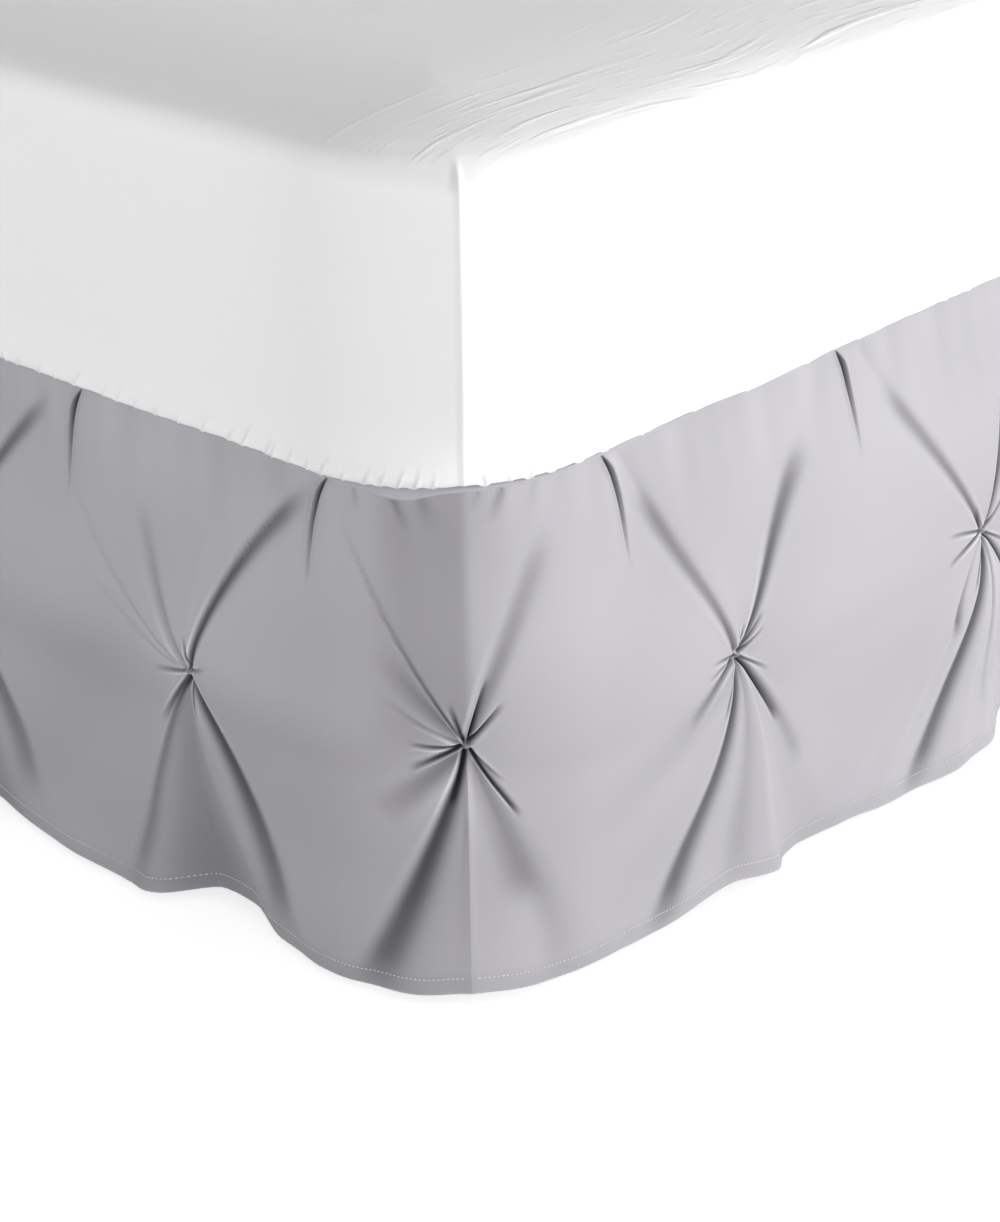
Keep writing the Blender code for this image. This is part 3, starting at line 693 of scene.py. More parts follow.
def tuck_reach(run, down):
    """Reach and painted shade of the small tucks under the top seam, which lean away from the near corner."""
    total, shade = np.zeros_like(run), np.zeros_like(run)
    along = np.clip(down / TUCK_LENGTH, 0.0, 1.0)
    onset = smooth(down / 0.004)
    height = TUCK_DEPTH * smooth(down / 0.006) * (1.0 - along) ** 1.1
    for tuck in TUCKS:
        away = math.copysign(1.0, tuck - CORNER_MIDDLE)
        path = tuck + away * TUCK_LEAN * (1.0 - np.exp(-down / 0.020))
        beside = (run - path) * away * 1000.0
        ridge = np.where(beside > 0.0, hump(beside, 4.5), hump(beside, 0.8))
        total += height * (ridge + humps(beside, TUCK_SLIT) + humps(beside, TUCK_TAIL) * smooth(down / 0.03))
        # painted shade along the tuck, less the painted highlight beside it
        dark = np.minimum(humps(beside, TUCK_PAINTED_SHADE), 0.95) * (1.0 - along ** 1.5)
        shade += onset * (dark - humps(beside, TUCK_PAINTED_HIGHLIGHT) * (1.0 - along))
    return total, shade


def gather_reach(run, down):
    """Reach and painted shade of the gathers where the seam sags at the two foot corners."""
    total, shade = np.zeros_like(run), np.zeros_like(run)
    for hand, scale in ((1.0, 1.0), (-1.0, 0.7)):
        for top, foot, length, width, depth in GATHERS:
            share = np.clip(down / length, 0.0, 1.0)
            line = hand * (CORNER_MIDDLE + top + (foot - top) * share)
            across = (run - line) / (width * (1.0 + share))
            fold = hump(across, 1.0) * (1.0 - share) * smooth(down / 0.003)
            total += scale * depth * (0.4 * hump(across - 2.0 * hand, 1.0) * (1.0 - share) - fold)
            shade = np.maximum(shade, 300.0 * scale * depth * fold)
    return total, np.minimum(shade, 0.6)


def list_hem_reach():
    """Reach of the hem at every 2 mm of run: from the table, and in slow waves beyond it."""
    runs = np.arange(-WALL_END, WALL_END + 0.002, 0.002)
    places, reaches = np.array(HEM_REACH).T
    past = runs - CORNER_MIDDLE
    table = np.interp(past, places, reaches)
    outside = np.maximum(places[0] - past, past - places[-1])
    reach = table + (0.013 + waves(runs, 0.0, HEM_WAVES) - table) * smooth(outside / 0.09)
    spread = hump(np.arange(-6, 7), 2.0)
    return runs, np.convolve(np.pad(reach, 6, mode="edge"), spread / spread.sum(), mode="valid")


HEM_RUNS, HEM_REACHES = list_hem_reach()


def slack_reach(height):
    """How far the slack cloth stands out from the seam line before the knots draw it in."""
    below = np.clip((DROP_TOP - height) / DROP_TOP, 0.0, 1.0)
    return HEM_FLARE * below ** 1.3 + PUFF * np.sin(math.pi * below) ** 2


def cell_ends(knot_run):
    """The tucks on either side of a knot."""
    ends = TUCKS + [WALL_END, -WALL_END]
    return max(end for end in ends if end < knot_run), min(end for end in ends if end > knot_run)


def painted_tone(run, height):
    """Painted shade and light away from the creases, by place: darker where positive, paler where negative.
    """
    past = run - NEAR_SEAM
    # painted shade: the foot's cloth is darker under the knots, and in the panel that ends at the corner seam
    on_foot = smooth(-past / 0.10) * smooth((run - FAR_SEAM) / 0.10)
    on_foot *= 1.0 - 0.7 * smooth((-0.45 - past) / 0.30)
    tone = on_foot * (0.13 * smooth((0.226 - height) / 0.040) - 0.045)
    upper = smooth((height - 0.19) / 0.06)
    before_seam = 0.5 - 0.5 * np.tanh((past - 0.003 * upper) / (0.001 + 0.002 * upper))
    panel = smooth((past + 0.072) / 0.045) * smooth((height - 0.18) / 0.04)
    tone += before_seam * (0.10 * np.exp(-np.abs(past) / 0.045) + 0.20 * panel)
    tone += 0.16 * hump(past + 0.0018, 0.0013) * smooth((0.185 - height) / 0.05)
    # painted shade in a soft band across at the knots' height, and the right side painted paler
    tone += 0.035 * hump(height - 0.180 - 0.006 * np.sin(11.0 * run), 0.013)
    return tone - 0.055 * smooth((past - 0.18) / 0.25)


def cloth_reach(run, height):
    """How far the cloth stands out from the seam line, and its painted shade and painted highlight."""
    below = np.clip((DROP_TOP - height) / DROP_TOP, 0.0, 1.0)
    reach = slack_reach(height)
    painted_shading = np.zeros_like(reach)
    hem_fade = 1.0 - 0.75 * smooth((0.085 - height) / 0.080)
    for knot_run, knot_height, knot_reach, fan in KNOTS:
        near = np.abs(run - knot_run) < KNOT_SPAN
        across, up = run[near] - knot_run, height[near] - knot_height
        radius = np.hypot(across, up)
        pull = knot_reach + KNOT_SINK - slack_reach(knot_height)
        reach[near] += pull * np.sin(math.pi * below[near]) ** 1.5 * hump(across, PULL_WIDTH)
        # the knot sinks in, with a small button of gathered cloth in its middle
        reach[near] += BUTTON_HEIGHT * hump(radius, BUTTON_RADIUS) - KNOT_SINK * np.exp(-radius / KNOT_RADIUS)
        fade = 1.0 - smooth((np.abs(across) - 0.05) / 0.21)
        folds, shade = fan_reach(across, up, fan)
        reach[near] += fade * folds * hem_fade[near]
        painted_shading[near] += fade * shade
        # the hem's waves run up towards the knot and die out there
        left, right = cell_ends(knot_run)
        inside = (run >= left) & (run < right)
        fall = np.clip((knot_height - height[inside]) / knot_height, 0.001, 1.0)
        drawn = knot_run + np.clip((run[inside] - knot_run) / fall, left - knot_run, right - knot_run)
        reach[inside] += (np.interp(drawn, HEM_RUNS, HEM_REACHES) - HEM_FLARE) * fall ** 1.3
    outer = (run < min(TUCKS)) | (run >= max(TUCKS))
    reach[outer] += (np.interp(run[outer], HEM_RUNS, HEM_REACHES) - HEM_FLARE) * below[outer] ** 3
    down = DROP_TOP - height
    top = down < 0.10
    folds, shade = tuck_reach(run[top], down[top])
    gathers, gather_shade = gather_reach(run[top], down[top])
    reach[top] += folds + gathers
    painted_shading[top] = np.maximum(painted_shading[top] + shade * (painted_shading[top] < 0.9), gather_shade)
    seam_ridge = 0.0007 - 0.0005 * smooth((height - 0.19) / 0.05)
    reach += seam_ridge * np.exp(-np.abs(run - NEAR_SEAM) / 0.006) * smooth(down / 0.03)
    slow = waves(run, height, SLOW_WAVES)
    drawn = waves(run, down, DRAWN_LINES) * hump(down, 0.055)
    reach += slow * smooth(down / 0.05) + 0.00022 * np.maximum(drawn, -0.6) * smooth(down / 0.006)
    # painted shade that follows the slow waves and the fine drawn lines, darker where the cloth lies in, plus
    # the painted tone by place
    painted_shading += 0.02 - 28.0 * slow - 0.022 * drawn + painted_tone(run, height)
    # the cloth comes to rest softly on the base, and further in below it
    least = REST_OVER + REST_UNDER * smooth((0.170 - height) / 0.060)
    reach = least + REST_SOFTNESS * np.logaddexp(0.0, (reach - least) / REST_SOFTNESS)
    return reach * smooth(down / 0.012) + 0.0002, painted_shading


def hem_lift(run, height):
    """How far the pinches draw the cloth up, all of it at the hem and none at the knots."""
    return sum(HEM_LIFT * (1.0 - smooth(height / knot_height)) * hump(run - knot_run, LIFT_WIDTH)
               for knot_run, knot_height, *_ in KNOTS)


# The drops' mesh: where the cells round the knots begin and end, and how close its columns are;
# cells between two places past the near corner's middle are meshed more finely
BAND_FOOT = 0.300
HEM_LINE = 0.0150
BAND_ROWS = 28
CELL_ROWS = 44
FINE_FROM, FINE_TO = -0.60, 0.66
CLOSE_COLUMN, OPEN_COLUMN, CORNER_COLUMN = 0.0036, 0.0080, 0.0026
TUCK_COLUMN, BESIDE_TUCK_COLUMN = 0.0009, 0.0016
HEM_COLUMN = 0.0055
# the plain strips beside the head: column, columns at the hem, rows
END_COLUMN, END_HEM_COLUMNS, END_ROWS = 0.0058, 20, 50


def column_runs(first, last, wide, tuck_edges):
    """Runs between two tucks, closer together near each tuck."""
    marks, run = [first], first
    while run < last:
        near_tuck = min(run - first if tuck_edges[0] else 1.0, last - run if tuck_edges[1] else 1.0)
        if near_tuck < 0.026:
            run += TUCK_COLUMN if near_tuck < 0.007 else BESIDE_TUCK_COLUMN
        else:
            run += min(wide, CORNER_COLUMN) if abs(abs(run) - CORNER_MIDDLE) < 0.070 else wide
        marks.append(run)
    marks = np.array(marks)
    return first + (marks - first) * (last - first) / (marks[-1] - first)


def ring_quads(places):
    """Quads between rows of places, each row a closed loop."""
    after = np.roll(places, -1, axis=1)
    return np.stack([places[:-1], after[:-1], after[1:], places[1:]], axis=2).reshape(-1, 4, 2)


def grid_quads(runs, heights):
    """Quads of a plain grid of runs and heights."""
    places = np.stack(np.meshgrid(runs, heights, indexing="xy"), axis=-1)
    return np.stack([places[:-1, :-1], places[1:, :-1], places[1:, 1:], places[:-1, 1:]],
                    axis=2).reshape(-1, 4, 2)


def knot_cell(knot_run, knot_height, first, last):
    """Quads of the cell round a knot, as places (run, height): rays from the knot to its edge."""
    dense = FINE_FROM < first - CORNER_MIDDLE and last - CORNER_MIDDLE < FINE_TO
    top = column_runs(first, last, CLOSE_COLUMN if dense else OPEN_COLUMN, (True, True))
    hem = np.linspace(first, last, int((last - first) / HEM_COLUMN) + 1)
    for edge in (top, hem):
        edge[np.argmin(np.abs(edge - knot_run))] = knot_run
    heights = np.linspace(BAND_FOOT, HEM_LINE, CELL_ROWS)[1:-1]
    loop = [(run, BAND_FOOT) for run in top] + [(last, height) for height in heights]
    loop += [(run, HEM_LINE) for run in hem[::-1]] + [(first, height) for height in heights[::-1]]
    ends, centre = np.array(loop), np.array([knot_run, knot_height])
    # how much each ring is wider than the last, rings, and how many of them have twice the rays
    growth, rings, halved = (1.036, 50, 27) if dense else (1.050, 36, 0)
    growth = growth ** np.arange(rings + 1)
    shares = ((growth - 1.0) / (growth[-1] - 1.0))[:, None, None]
    places = centre + (ends - centre) * shares[halved:]
    if not halved:
        return ring_quads(places), top, hem
    # near the knot a ray runs between every two, so the first open ring is cut to meet them
    both = np.stack([ends, 0.5 * (ends + np.roll(ends, -1, axis=0))], axis=1).reshape(-1, 2)
    inner = centre + (both - centre) * shares[:halved + 1]
    middle, after = inner[-1, 1::2], np.roll(places[:2], -1, axis=1)
    return np.concatenate([ring_quads(places[1:]), ring_quads(inner),
                           np.stack([places[0], middle, places[1], places[1]], axis=1),
                           np.stack([middle, after[0], after[1], places[1]], axis=1)]), top, hem


def drop_quads(first_run, last_run):
    """All quads of one drop between two runs, and the columns of its hem."""
    quads, hems = [], []
    band = np.linspace(DROP_TOP, BAND_FOOT, BAND_ROWS)
    for knot_run, knot_height, *_ in KNOTS:
        left, right = cell_ends(knot_run)
        if right > first_run and left < last_run:
            cell, top, hem = knot_cell(knot_run, knot_height, left, right)
            quads += [cell, grid_quads(top, band)]
            hems.append(hem)
    for first, last in ((max(TUCKS), WALL_END), (-WALL_END, min(TUCKS))):
        if first >= first_run - 0.001 and last <= last_run + 0.001:
            top = column_runs(first, last, END_COLUMN, (first > 0, first < 0))
            hem = np.linspace(first, last, END_HEM_COLUMNS)
            quads += [grid_quads(top, band), grid_quads(hem, np.linspace(BAND_FOOT, HEM_LINE, END_ROWS))]
            hems.append(hem)
    quads = np.concatenate(quads)
    middle = quads[..., 0].mean(axis=1)
    quads = quads[(middle > first_run) & (middle < last_run)]
    quads[..., 0] = np.clip(quads[..., 0], first_run, last_run)
    hem = np.unique(np.round(np.concatenate(hems), 7))
    hem = hem[(hem > first_run) & (hem < last_run)]
    return quads, np.concatenate([[first_run], hem, [last_run]])


def tuck_lean(run, height):
    """Run shifted to follow the lean of the nearest tuck, so that columns of the mesh lie along it."""
    down = np.maximum(DROP_TOP - height, 0.0)
    lean = TUCK_LEAN * (1.0 - np.exp(-down / 0.020)) * (1.0 - smooth((down - 0.070) / 0.080))
    return run + lean * sum(math.copysign(1.0, tuck - CORNER_MIDDLE) * hump(run - tuck, 0.040)
                            for tuck in TUCKS)


def make_drop(name, first_run, last_run, node):
    """One drop: its cells, its top band and its turned-up hem, hung on the wall."""
    quads, hem = drop_quads(first_run, last_run)
    # down the hem and up behind it: height, distance behind the face
    turns = ((HEM_LINE, 0.0), (0.0115, 0.0), (0.0085, 0.0), (0.0060, 0.0), (0.0046, 0.0001),
             (HEM_HEIGHT, 0.0005), (0.0043, 0.0010), (0.0060, 0.0013), (0.0110, 0.0013), (0.0165, 0.0013))
    places = [np.concatenate([quads.reshape(-1, 2), np.zeros((len(quads) * 4, 1))], axis=1)]
    left, right = hem[:-1], hem[1:]
    for (high, near), (low, far) in zip(turns, turns[1:]):
        corners = ((left, high, near), (left, low, far), (right, low, far), (right, high, near))
        band = [np.stack([run, run * 0 + height, run * 0 + behind], -1) for run, height, behind in corners]
        places.append(np.stack(band, axis=1).reshape(-1, 3))
    keys, index = np.unique(np.round(np.concatenate(places), 6), axis=0, return_inverse=True)
    run, height, behind = keys.T
    run = tuck_lean(run, height)
    reach, painted_shading = cloth_reach(run, np.maximum(height, HEM_HEIGHT))
    # painted shading: the turned-up hem is mixed a little darker, and its folded bottom edge paler as painted
    # highlight
    painted_shading += 0.07 * smooth((HEM_LINE + 0.0010 - height) / 0.001) - 0.30 * smooth((0.0062 - height) / 0.002)
    sag = seam_sag(run) * smooth((height - 0.330) / 0.048)
    points = wall_point(run, reach - behind, height + hem_lift(run, height) - sag)
    # quads with a corner that falls on another become triangles or go
    faces = [[corner for number, corner in enumerate(face) if corner != face[number - 1]]
             for face in index.reshape(-1, 4)]
    faces = [face for face in faces if len(face) > 2]
    cloth_map = np.concatenate([keys[face][:, :2] for face in faces])
    piece = add_mesh(name, points, faces, microfibre, cloth_map)
    shade = piece.data.attributes.new("painted_shading", "FLOAT", "POINT")
    shade.data.foreach_set("value", painted_shading.astype(np.float32))
    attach(piece, "root")
    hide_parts(node)
    return piece


drop_foot_cloth, drop_right_cloth, drop_left_cloth = [
    make_drop(f"drop_{side}_cloth", first_run, last_run, f"drop_{side}")
    for side, first_run, last_run in DROPS]

# ---------------------------------------------------------------------------------------------
# The hem's stitches: one row of pale polyester thread through the turned-up hem of each drop.
# The machine lays them end to end with a small gap, each end pulled down into the cloth.
# ---------------------------------------------------------------------------------------------

STITCH_HEIGHT = HEM_HEIGHT + HEM_DEPTH
STITCH_PITCH = 0.0030
STRANDS_PER_METRE = 1800.0
THREAD_SHADE = (0.70, 0.69, 0.71, 1.0)
THREAD_PALE = (0.92, 0.91, 0.93, 1.0)


def make_thread():
    """Polyester thread: a fine twist of pale and darker strands."""
    material, tree, shader = start_material("polyester_thread", Roughness=0.45, Sheen_Weight=0.2)
    twist = add_noise(tree, own_places(tree), STRANDS_PER_METRE, 1.0)
    feed(shader, {"Base Color": blend(tree, twist, THREAD_SHADE, THREAD_PALE)})
    return material


polyester_thread = make_thread()


def make_stitches(name, first_run, last_run):
    """The row of stitches on one drop: each a short bar of thread with its ends sunk."""
    starts = np.arange(first_run + 0.004, last_run - 0.006, STITCH_PITCH)
    # along the stitch, half width, height over the cloth: its middle ring is the fattest
    rings = ((0.0002, 0.00015, -0.00010), (0.0006, 0.00036, 0.00024), (0.0012, 0.00040, 0.00034),
             (0.0017, 0.00034, 0.00022), (0.0021, 0.00015, -0.00012))
    points = []
    for along, half, over in rings:
        run = starts + along
        for side, lift in ((-1.0, 0.0), (0.0, 1.0), (1.0, 0.0), (0.0, -0.6)):
            height = np.full_like(run, STITCH_HEIGHT + half * side)
            reach = cloth_reach(run, height)[0] + over + half * lift
            points.append(wall_point(run, reach, height + hem_lift(run, height)))
    # a stitch's own faces: four sides from ring to ring, and both ends
    last = 4 * len(rings) - 1
    bar = [(ring + side, ring + side + 4, ring + (side + 1) % 4 + 4, ring + (side + 1) % 4)
           for ring in range(0, last - 3, 4) for side in range(4)]
    bar += [(0, 1, 2, 3), (last, last - 1, last - 2, last - 3)]
    faces = [[first + corner for corner in face]
             for first in range(0, len(starts) * len(points), len(points)) for face in bar]
    piece = add_mesh(name, np.stack(points, axis=1).reshape(-1, 3), faces, polyester_thread)
    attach(piece, "root")


for side, first_run, last_run in DROPS:
    make_stitches(f"stitches_{side}", first_run, last_run)

# ---------------------------------------------------------------------------------------------
# The mattress in its fitted sheet: foam and springs in white woven cotton, with a seam down each
# corner and an elastic hem that gathers the bottom edge into small scallops.
# ---------------------------------------------------------------------------------------------

MATTRESS_BOTTOM = 0.3816
MATTRESS_TOP = 0.6103
EDGE_FOOT = 0.570
EDGE_RADIUS = 0.024
SHEET_EDGE = 0.3806
SHEET_SEAM = CORNER_MIDDLE + 0.0095
SHEET_WHITE = (0.89, 0.89, 0.89, 1.0)
SHEET_SHADE = (0.84, 0.84, 0.845, 1.0)
# painted shade colour for the sheet before the corner seam
SHEET_PAINTED_SHADE = (0.30, 0.30, 0.31, 1.0)
# Wrinkles: how much finer across than along, detail, and the part of the noise that shows
WRINKLES = (((130.0, 7.0, 10.0), 2.0, 0.52, 0.80), ((260.0, 26.0, 30.0), 1.0, 0.54, 0.78))

# Gathers of the elastic hem near the foot corner: distance past the corner's middle, drop of the
# edge, height of the crease over it, its lean towards +run, all metres but the lean
SHEET_GATHERS = (
    (-0.388, 0.0012, 0.010, 0.8), (-0.365, 0.0014, 0.014, 0.8), (-0.348, 0.0009, 0.008, 0.6),
    (-0.328, 0.0016, 0.016, 0.8), (-0.297, 0.0010, 0.010, 0.6), (-0.283, 0.0014, 0.014, 0.7),
    (-0.264, 0.0010, 0.009, 0.6), (-0.244, 0.0013, 0.012, 0.8), (-0.221, 0.0007, 0.008, 0.4),
    (-0.197, 0.0016, 0.014, 0.7), (-0.172, 0.0012, 0.012, 0.7), (-0.158, 0.0018, 0.024, 0.5),
    (-0.136, 0.0014, 0.014, 0.5), (-0.130, 0.0013, 0.012, 0.4), (-0.116, 0.0013, 0.012, 0.6),
    (-0.099, 0.0007, 0.008, 0.5), (-0.086, 0.0014, 0.016, 0.5), (-0.070, 0.0008, 0.008, 0.4),
    (-0.0545, 0.0012, 0.012, 0.5), (-0.044, 0.0010, 0.012, 0.4), (-0.033, 0.0013, 0.014, 0.4),
    (-0.022, 0.0014, 0.014, 0.3), (-0.011, 0.0010, 0.010, 0.2), (0.022, 0.0020, 0.012, -0.2),
    (0.037, 0.0008, 0.008, 0.0), (0.051, 0.0022, 0.014, 0.2), (0.067, 0.0020, 0.012, 0.3),
    (0.090, 0.0020, 0.012, 0.3), (0.114, 0.0016, 0.010, 0.3), (0.150, 0.0006, 0.006, 0.0),
    (0.205, 0.0007, 0.008, 0.2), (0.262, 0.0005, 0.006, 0.2), (0.330, 0.0007, 0.008, 0.1),
)
# The gathers of the rest of the hem, drawn by chance between these: drop, height, lean, gap to the next
GATHER_SEED = 21
GATHER_CHANCES = ((0.0004, 0.0018), (0.006, 0.016), (-0.6, 0.8), (0.014, 0.050))
# How far the hem rides up near the foot corner: distance past the corner's middle, lift
EDGE_LIFT = ((-0.10, 0.0), (0.02, 0.0004), (0.09, 0.0016), (0.20, 0.0014), (0.28, -0.0028), (0.36, 0.0004),
             (0.50, 0.0))
# Across the corner seam, and across the pucker at its top end: place, half width, height
SEAM_RIDGE = ((0.0, 0.0013, 0.0008), (-0.0035, 0.0020, -0.0006))
SEAM_PUCKER = ((0.0005, 0.0019, 0.0022), (-0.0038, 0.0022, -0.0022), (0.0050, 0.0024, -0.0016))
# Columns of the sheet at a gather or the seam near the foot corner, between them, and elsewhere
FINE_COLUMN, CORNER_SHEET_COLUMN, GATHER_COLUMN, PLAIN_COLUMN = 0.0011, 0.0030, 0.0020, 0.0090


def make_wrinkle_group():
    """Fine wrinkles that run one way, in drifts, with a few sharper ones among them."""
    group, given, out = start_group("sheet_wrinkles", [("Vector", "Vector", None)], ["Height"])
    bends = add_noise(group, given["Vector"], 3.0, 1.0)
    shift = add_node(group, "VectorMath", {0: bends.outputs["Color"], 1: (0.09, 0.09, 0.0),
                                           2: given["Vector"]}, operation="MULTIPLY_ADD")
    broad, sharp = (
        add_node(group, "MapRange", {"Value": stretch_noise(group, shift, stretch, detail), "From Min": low,
                                     "From Max": high}, interpolation_type="SMOOTHSTEP")
        for stretch, detail, low, high in WRINKLES)
    feed(out, {"Height": calculate(group, "MULTIPLY_ADD", sharp, 0.35, broad)})
    return group


def make_sheeting():
    """White woven cotton: smooth where it is stretched down the sides, finely wrinkled on top, and mixed
    greyer by a painted shade before the corner seam.
    """
    cotton, tree, shader, colour, weave = make_cloth(
        "white_cotton", SHEET_WHITE, SHEET_SHADE, pitch=0.00045, slub=0.6, mottle=0.4, relief=0.15,
        Roughness=0.8, Sheen_Weight=0.15, Specular_IOR_Level=0.25)
    place = own_places(tree)
    wrinkles = add_node(tree, "Group", {"Vector": place}, node_tree=make_wrinkle_group())
    split = add_node(tree, "SeparateXYZ", {0: place})
    on_top = add_node(tree, "MapRange", {"Value": split.outputs["Z"], "From Min": 0.584, "From Max": 0.594,
                                         "To Min": 0.06, "To Max": 1.0})
    from_middle = calculate(tree, "ABSOLUTE", split.outputs["X"])
    near_edge = add_node(tree, "MapRange", {"Value": from_middle, "From Min": 0.60, "From Max": 0.73,
                                            "To Min": 0.16, "To Max": 1.0})
    bump = add_node(tree, "Bump", {"Height": wrinkles, "Normal": weave, "Distance": 0.0008,
                                   "Strength": calculate(tree, "MULTIPLY", on_top, near_edge)})
    # painted shade: the sheet is mixed towards grey before the corner seam
    shade = add_node(tree, "Attribute", attribute_name="shade").outputs["Fac"]
    dimmed = blend(tree, calculate(tree, "MULTIPLY", shade, 0.20), colour, SHEET_PAINTED_SHADE)
    feed(shader, {"Base Color": dimmed, "Normal": bump})
    return cotton


def list_sheet_gathers():
    """Every gather of the hem: those of the table, then uneven ones round the rest of the bed."""
    gathers = [(CORNER_MIDDLE + past, drop, tall, lean) for past, drop, tall, lean in SHEET_GATHERS]
    chance = np.random.default_rng(GATHER_SEED)
    total = half_way_round(*WALL_OUTLINE)
    run = -total + 0.02
    while run < total - 0.02:
        if not -0.40 < run - CORNER_MIDDLE < 0.36:
            gathers.append((run, *(chance.uniform(*limits) for limits in GATHER_CHANCES[:3])))
        run += chance.uniform(*GATHER_CHANCES[3])
    return gathers


ALL_GATHERS = list_sheet_gathers()
GATHER_RUNS = np.array([gather[0] for gather in ALL_GATHERS])


def sheet_spacing(run):
    """Columns of the sheet: close at each gather and at the corner seam, open elsewhere."""
    gap = np.abs(GATHER_RUNS + 0.003 - run).min()
    near_corner = -0.42 < run - CORNER_MIDDLE < 0.38
    if abs(run - SHEET_SEAM) < 0.005 or (near_corner and gap < 0.006):
        return FINE_COLUMN
    if near_corner:
        return CORNER_SHEET_COLUMN
    return GATHER_COLUMN if gap < 0.004 else PLAIN_COLUMN


def sheet_relief(run, height):
    """How far the sheet's hem, gathers and corner seam move it: outwards and down."""
    out, down = np.zeros_like(run), np.zeros_like(run)
    above = np.maximum(height - SHEET_EDGE, 0.0)
    for place, drop, tall, lean in ALL_GATHERS:
        near = np.abs(run - place) < 0.035
        across, rise = run[near] - place, above[near]
        down[near] += 1.3 * drop * np.exp(-rise / 0.0035) * hump(across, 0.0018)
        line = (across - lean * rise) / 0.0013
        fade = np.clip(1.0 - rise / tall, 0.0, 1.0)
        out[near] += fade * (0.0015 * hump(line - 1.6, 1.1) - 0.0016 * hump(line, 1.0)
                             + 0.0009 * hump(across - 0.008, 0.006))
    # the elastic draws the edge in; a roll of slack stands over it
    out += 0.0012 * hump(above - 0.006, 0.005) * (1.0 + 0.6 * np.sin(37.0 * run + 1.0))
    down += 0.0005 * np.sin(29.0 * run + 0.6) * np.exp(-above / 0.004)
    down -= np.interp(run - CORNER_MIDDLE, *np.array(EDGE_LIFT).T) * np.exp(-above / 0.010)
    for hand in (1.0, -1.0):
        past = hand * run - SHEET_SEAM
        rise = smooth((height - 0.385) / 0.07) * (1.0 - smooth((height - 0.572) / 0.024))
        out += 0.010 * np.exp(-np.abs(past) / 0.030) * rise + humps(past, SEAM_RIDGE)
        out += hump(height - 0.583 - 0.5 * past, 0.007) * humps(past, SEAM_PUCKER)
    return out, down


def sheet_rows():
    """Rows down the sheet, distance in from the wall and height, from under the hem to the top's middle."""
    rows = [(0.300, MATTRESS_BOTTOM), (0.060, MATTRESS_BOTTOM), (0.008, MATTRESS_BOTTOM),
            (0.0005, MATTRESS_BOTTOM), (-0.0014, 0.3817), (-0.0020, 0.3815), (-0.0022, 0.3812),
            (-0.0024, 0.3808), (-0.0028, SHEET_EDGE), (-0.0034, 0.3807), (-0.0038, 0.3813)]
    for height in (0.3822, 0.3833, 0.3846, 0.3861, 0.3879, 0.3900, 0.3925, 0.3955, 0.3990, 0.4035):
        rows.append((-0.0040 * (1.0 - smooth((height - 0.382) / 0.030)), height))
    rows += [(0.0, height) for height in (0.412, 0.424, 0.440, 0.465, 0.492, 0.520, 0.548, 0.562, EDGE_FOOT)]
    # the edge turns over, then the top rises slowly to its middle
    turn = np.radians(np.arange(8, 73, 8))
    rows += list(zip(EDGE_RADIUS * (1.0 - np.cos(turn)), EDGE_FOOT + EDGE_RADIUS * np.sin(turn)))
    rows += [(0.0205, 0.5948), (0.0270, 0.5969), (0.0360, 0.5990), (0.0480, 0.6012), (0.0630, 0.6034),
             (0.0800, 0.6056), (0.0980, 0.6076), (0.1180, 0.6093)]
    rows += [(inset, MATTRESS_TOP) for inset in (0.150, 0.190, 0.240, 0.300, 0.380, 0.480, 0.600)]
    return np.array(rows).T


def make_mattress():
    """The dressed mattress, from the middle of its underside round the hem to the middle of its top."""
    columns = ring_runs(WALL_OUTLINE, sheet_spacing)
    inset, height = sheet_rows()
    runs, heights = np.meshgrid(columns, height)
    # the rows under the mattress and on its top stay flat
    shown = (np.arange(len(inset)) > 5) & (inset < 0.012)
    out, down = (relief.reshape(runs.shape) * shown[:, None]
                 for relief in sheet_relief(runs.ravel(), heights.ravel()))
    out *= np.clip(1.0 - inset / 0.010, 0.0, 1.0)[:, None]
    piece = add_ring("mattress_in_sheet", make_sheeting(), WALL_OUTLINE, columns, inset, height, WALL_RIM,
                     out=out, down=down, upwards=True)
    # painted shade: the sheet is painted greyer before the corner seam
    past = runs - SHEET_SEAM
    shade = (0.5 - 0.5 * np.tanh(past / 0.0015)) * hump(past, 0.11)
    shade *= 1.0 - smooth(inset / 0.030)[:, None]
    piece.data.attributes.new("shade", "FLOAT", "POINT").data.foreach_set("value", shade.ravel())
    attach(piece, "root")
    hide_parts("mattress")


make_mattress()

# ---------------------------------------------------------------------------------------------
# The studio: a pale floor, soft light from all round that is strongest low down and to the right,
# one weak wide lamp from the right, and the camera above the foot corner.
# ---------------------------------------------------------------------------------------------

FLOOR_WHITE = (0.60, 0.60, 0.60, 1.0)
FLOOR_HALF = 14.0
FLOOR_GLOW = 0.75
WHITE = (1.0, 1.0, 1.0, 1.0)
# the surroundings' light: strength low down and overhead, and its lean towards a heading
LOW_LIGHT = 4.00
HIGH_LIGHT = 0.20
LIGHT_LEAN = 0.42
LEAN_HEADING = math.radians(25.0)
LAMP_PLACE = (5.5, 2.3, 1.70)
LAMP_AIM = (0.77, -1.03, 0.20)
LAMP_SIZE = 1.3
LAMP_POWER = 95.0
CAMERA_YAW = math.radians(-42.717)
CAMERA_PITCH = math.radians(25.542)
CAMERA_ROLL = math.radians(-0.829)
# how far the camera stands out from the foot corner, to the right and past the foot, and how high
CAMERA_RIGHT, CAMERA_PAST, CAMERA_HEIGHT = 1.1289, 1.1794, 1.0963
CAMERA_PLACE = (CAMERA_RIGHT + HALF_WIDTH + BED_X, -CAMERA_PAST - HALF_LENGTH + BED_Y, CAMERA_HEIGHT)
SENSOR_WIDTH = 36.0
# focal length, and the frame's longer side, in its pixels
FOCAL_PIXELS, FRAME_PIXELS = 2899.5, 1222


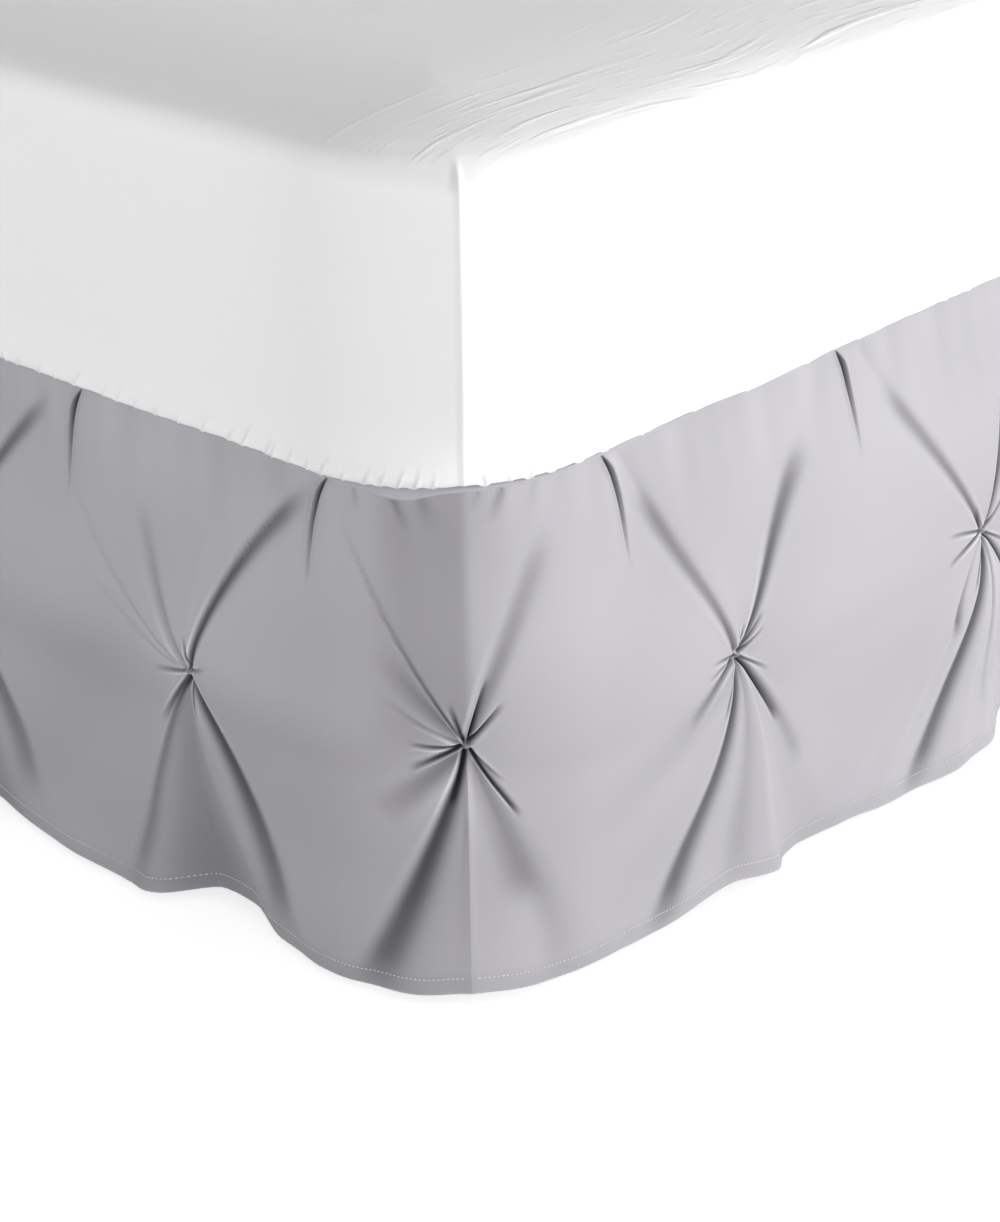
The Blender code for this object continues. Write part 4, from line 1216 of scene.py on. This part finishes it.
def make_floor():
    """A plain pale floor that reads as white paper."""
    material, tree, shader = start_material("pale_floor", Roughness=0.9, Base_Color=FLOOR_WHITE,
                                            Emission_Color=WHITE)
    seen = add_node(tree, "LightPath").outputs["Is Camera Ray"]
    feed(shader, {"Emission Strength": calculate(tree, "MULTIPLY", seen, FLOOR_GLOW)})
    corners = [(side_x * FLOOR_HALF, side_y * FLOOR_HALF, 0.0)
               for side_x, side_y in ((-1, -1), (1, -1), (1, 1), (-1, 1))]
    floor = add_mesh("floor", corners, [(0, 1, 2, 3)], material)


def make_world():
    """White screens all round, brighter to the right, with a dim ceiling."""
    world = bpy.data.worlds.new("studio")
    world.use_nodes = True
    tree = world.node_tree
    place = add_node(tree, "TexCoord").outputs["Generated"]
    split = add_node(tree, "SeparateXYZ", {0: place})
    ramp = add_node(tree, "MapRange", {"Value": split.outputs["Z"], "From Min": 0.0, "From Max": 0.55,
                                       "To Min": LOW_LIGHT, "To Max": HIGH_LIGHT})
    heading = (LIGHT_LEAN * math.cos(LEAN_HEADING), LIGHT_LEAN * math.sin(LEAN_HEADING), 0.0)
    lean = add_node(tree, "VectorMath", {0: place, 1: heading}, operation="DOT_PRODUCT").outputs["Value"]
    back = tree.nodes["Background"]
    back.inputs["Color"].default_value = WHITE
    feed(back, {"Strength": calculate(tree, "MULTIPLY_ADD", lean, ramp, ramp)})
    bpy.context.scene.world = world


def add_lamp():
    """A wide soft lamp, aimed low at the foot corner."""
    light = bpy.data.lights.new("key", "AREA")
    light.shape = "RECTANGLE"
    light.size = light.size_y = LAMP_SIZE
    light.energy = LAMP_POWER
    lamp = add_object("key", light)
    lamp.location = LAMP_PLACE
    x, y, z = np.array(LAMP_AIM) - np.array(LAMP_PLACE)
    lamp.rotation_euler = (math.atan2(math.hypot(x, y), -z), 0.0, math.atan2(-x, y))


def add_camera():
    """The camera: heading, pitch and a slight roll."""
    cos_pitch, sin_pitch = math.cos(CAMERA_PITCH), math.sin(CAMERA_PITCH)
    ahead = np.array([math.sin(CAMERA_YAW) * cos_pitch, math.cos(CAMERA_YAW) * cos_pitch, -sin_pitch])
    right = np.array([math.cos(CAMERA_YAW), -math.sin(CAMERA_YAW), 0.0])
    up = np.cross(right, ahead)
    cos_roll, sin_roll = math.cos(CAMERA_ROLL), math.sin(CAMERA_ROLL)
    matrix = np.eye(4)
    matrix[:3, 0] = cos_roll * right + sin_roll * up
    matrix[:3, 1] = -sin_roll * right + cos_roll * up
    matrix[:3, 2] = -ahead
    matrix[:3, 3] = CAMERA_PLACE
    lens = bpy.data.cameras.new("camera")
    lens.sensor_width = SENSOR_WIDTH
    lens.lens = FOCAL_PIXELS / FRAME_PIXELS * SENSOR_WIDTH
    camera = add_object("camera", lens)
    camera.matrix_world = matrix.T.tolist()
    bpy.context.scene.camera = camera


make_floor()
make_world()
add_lamp()
add_camera()
bpy.context.scene.view_settings.view_transform = "Standard"
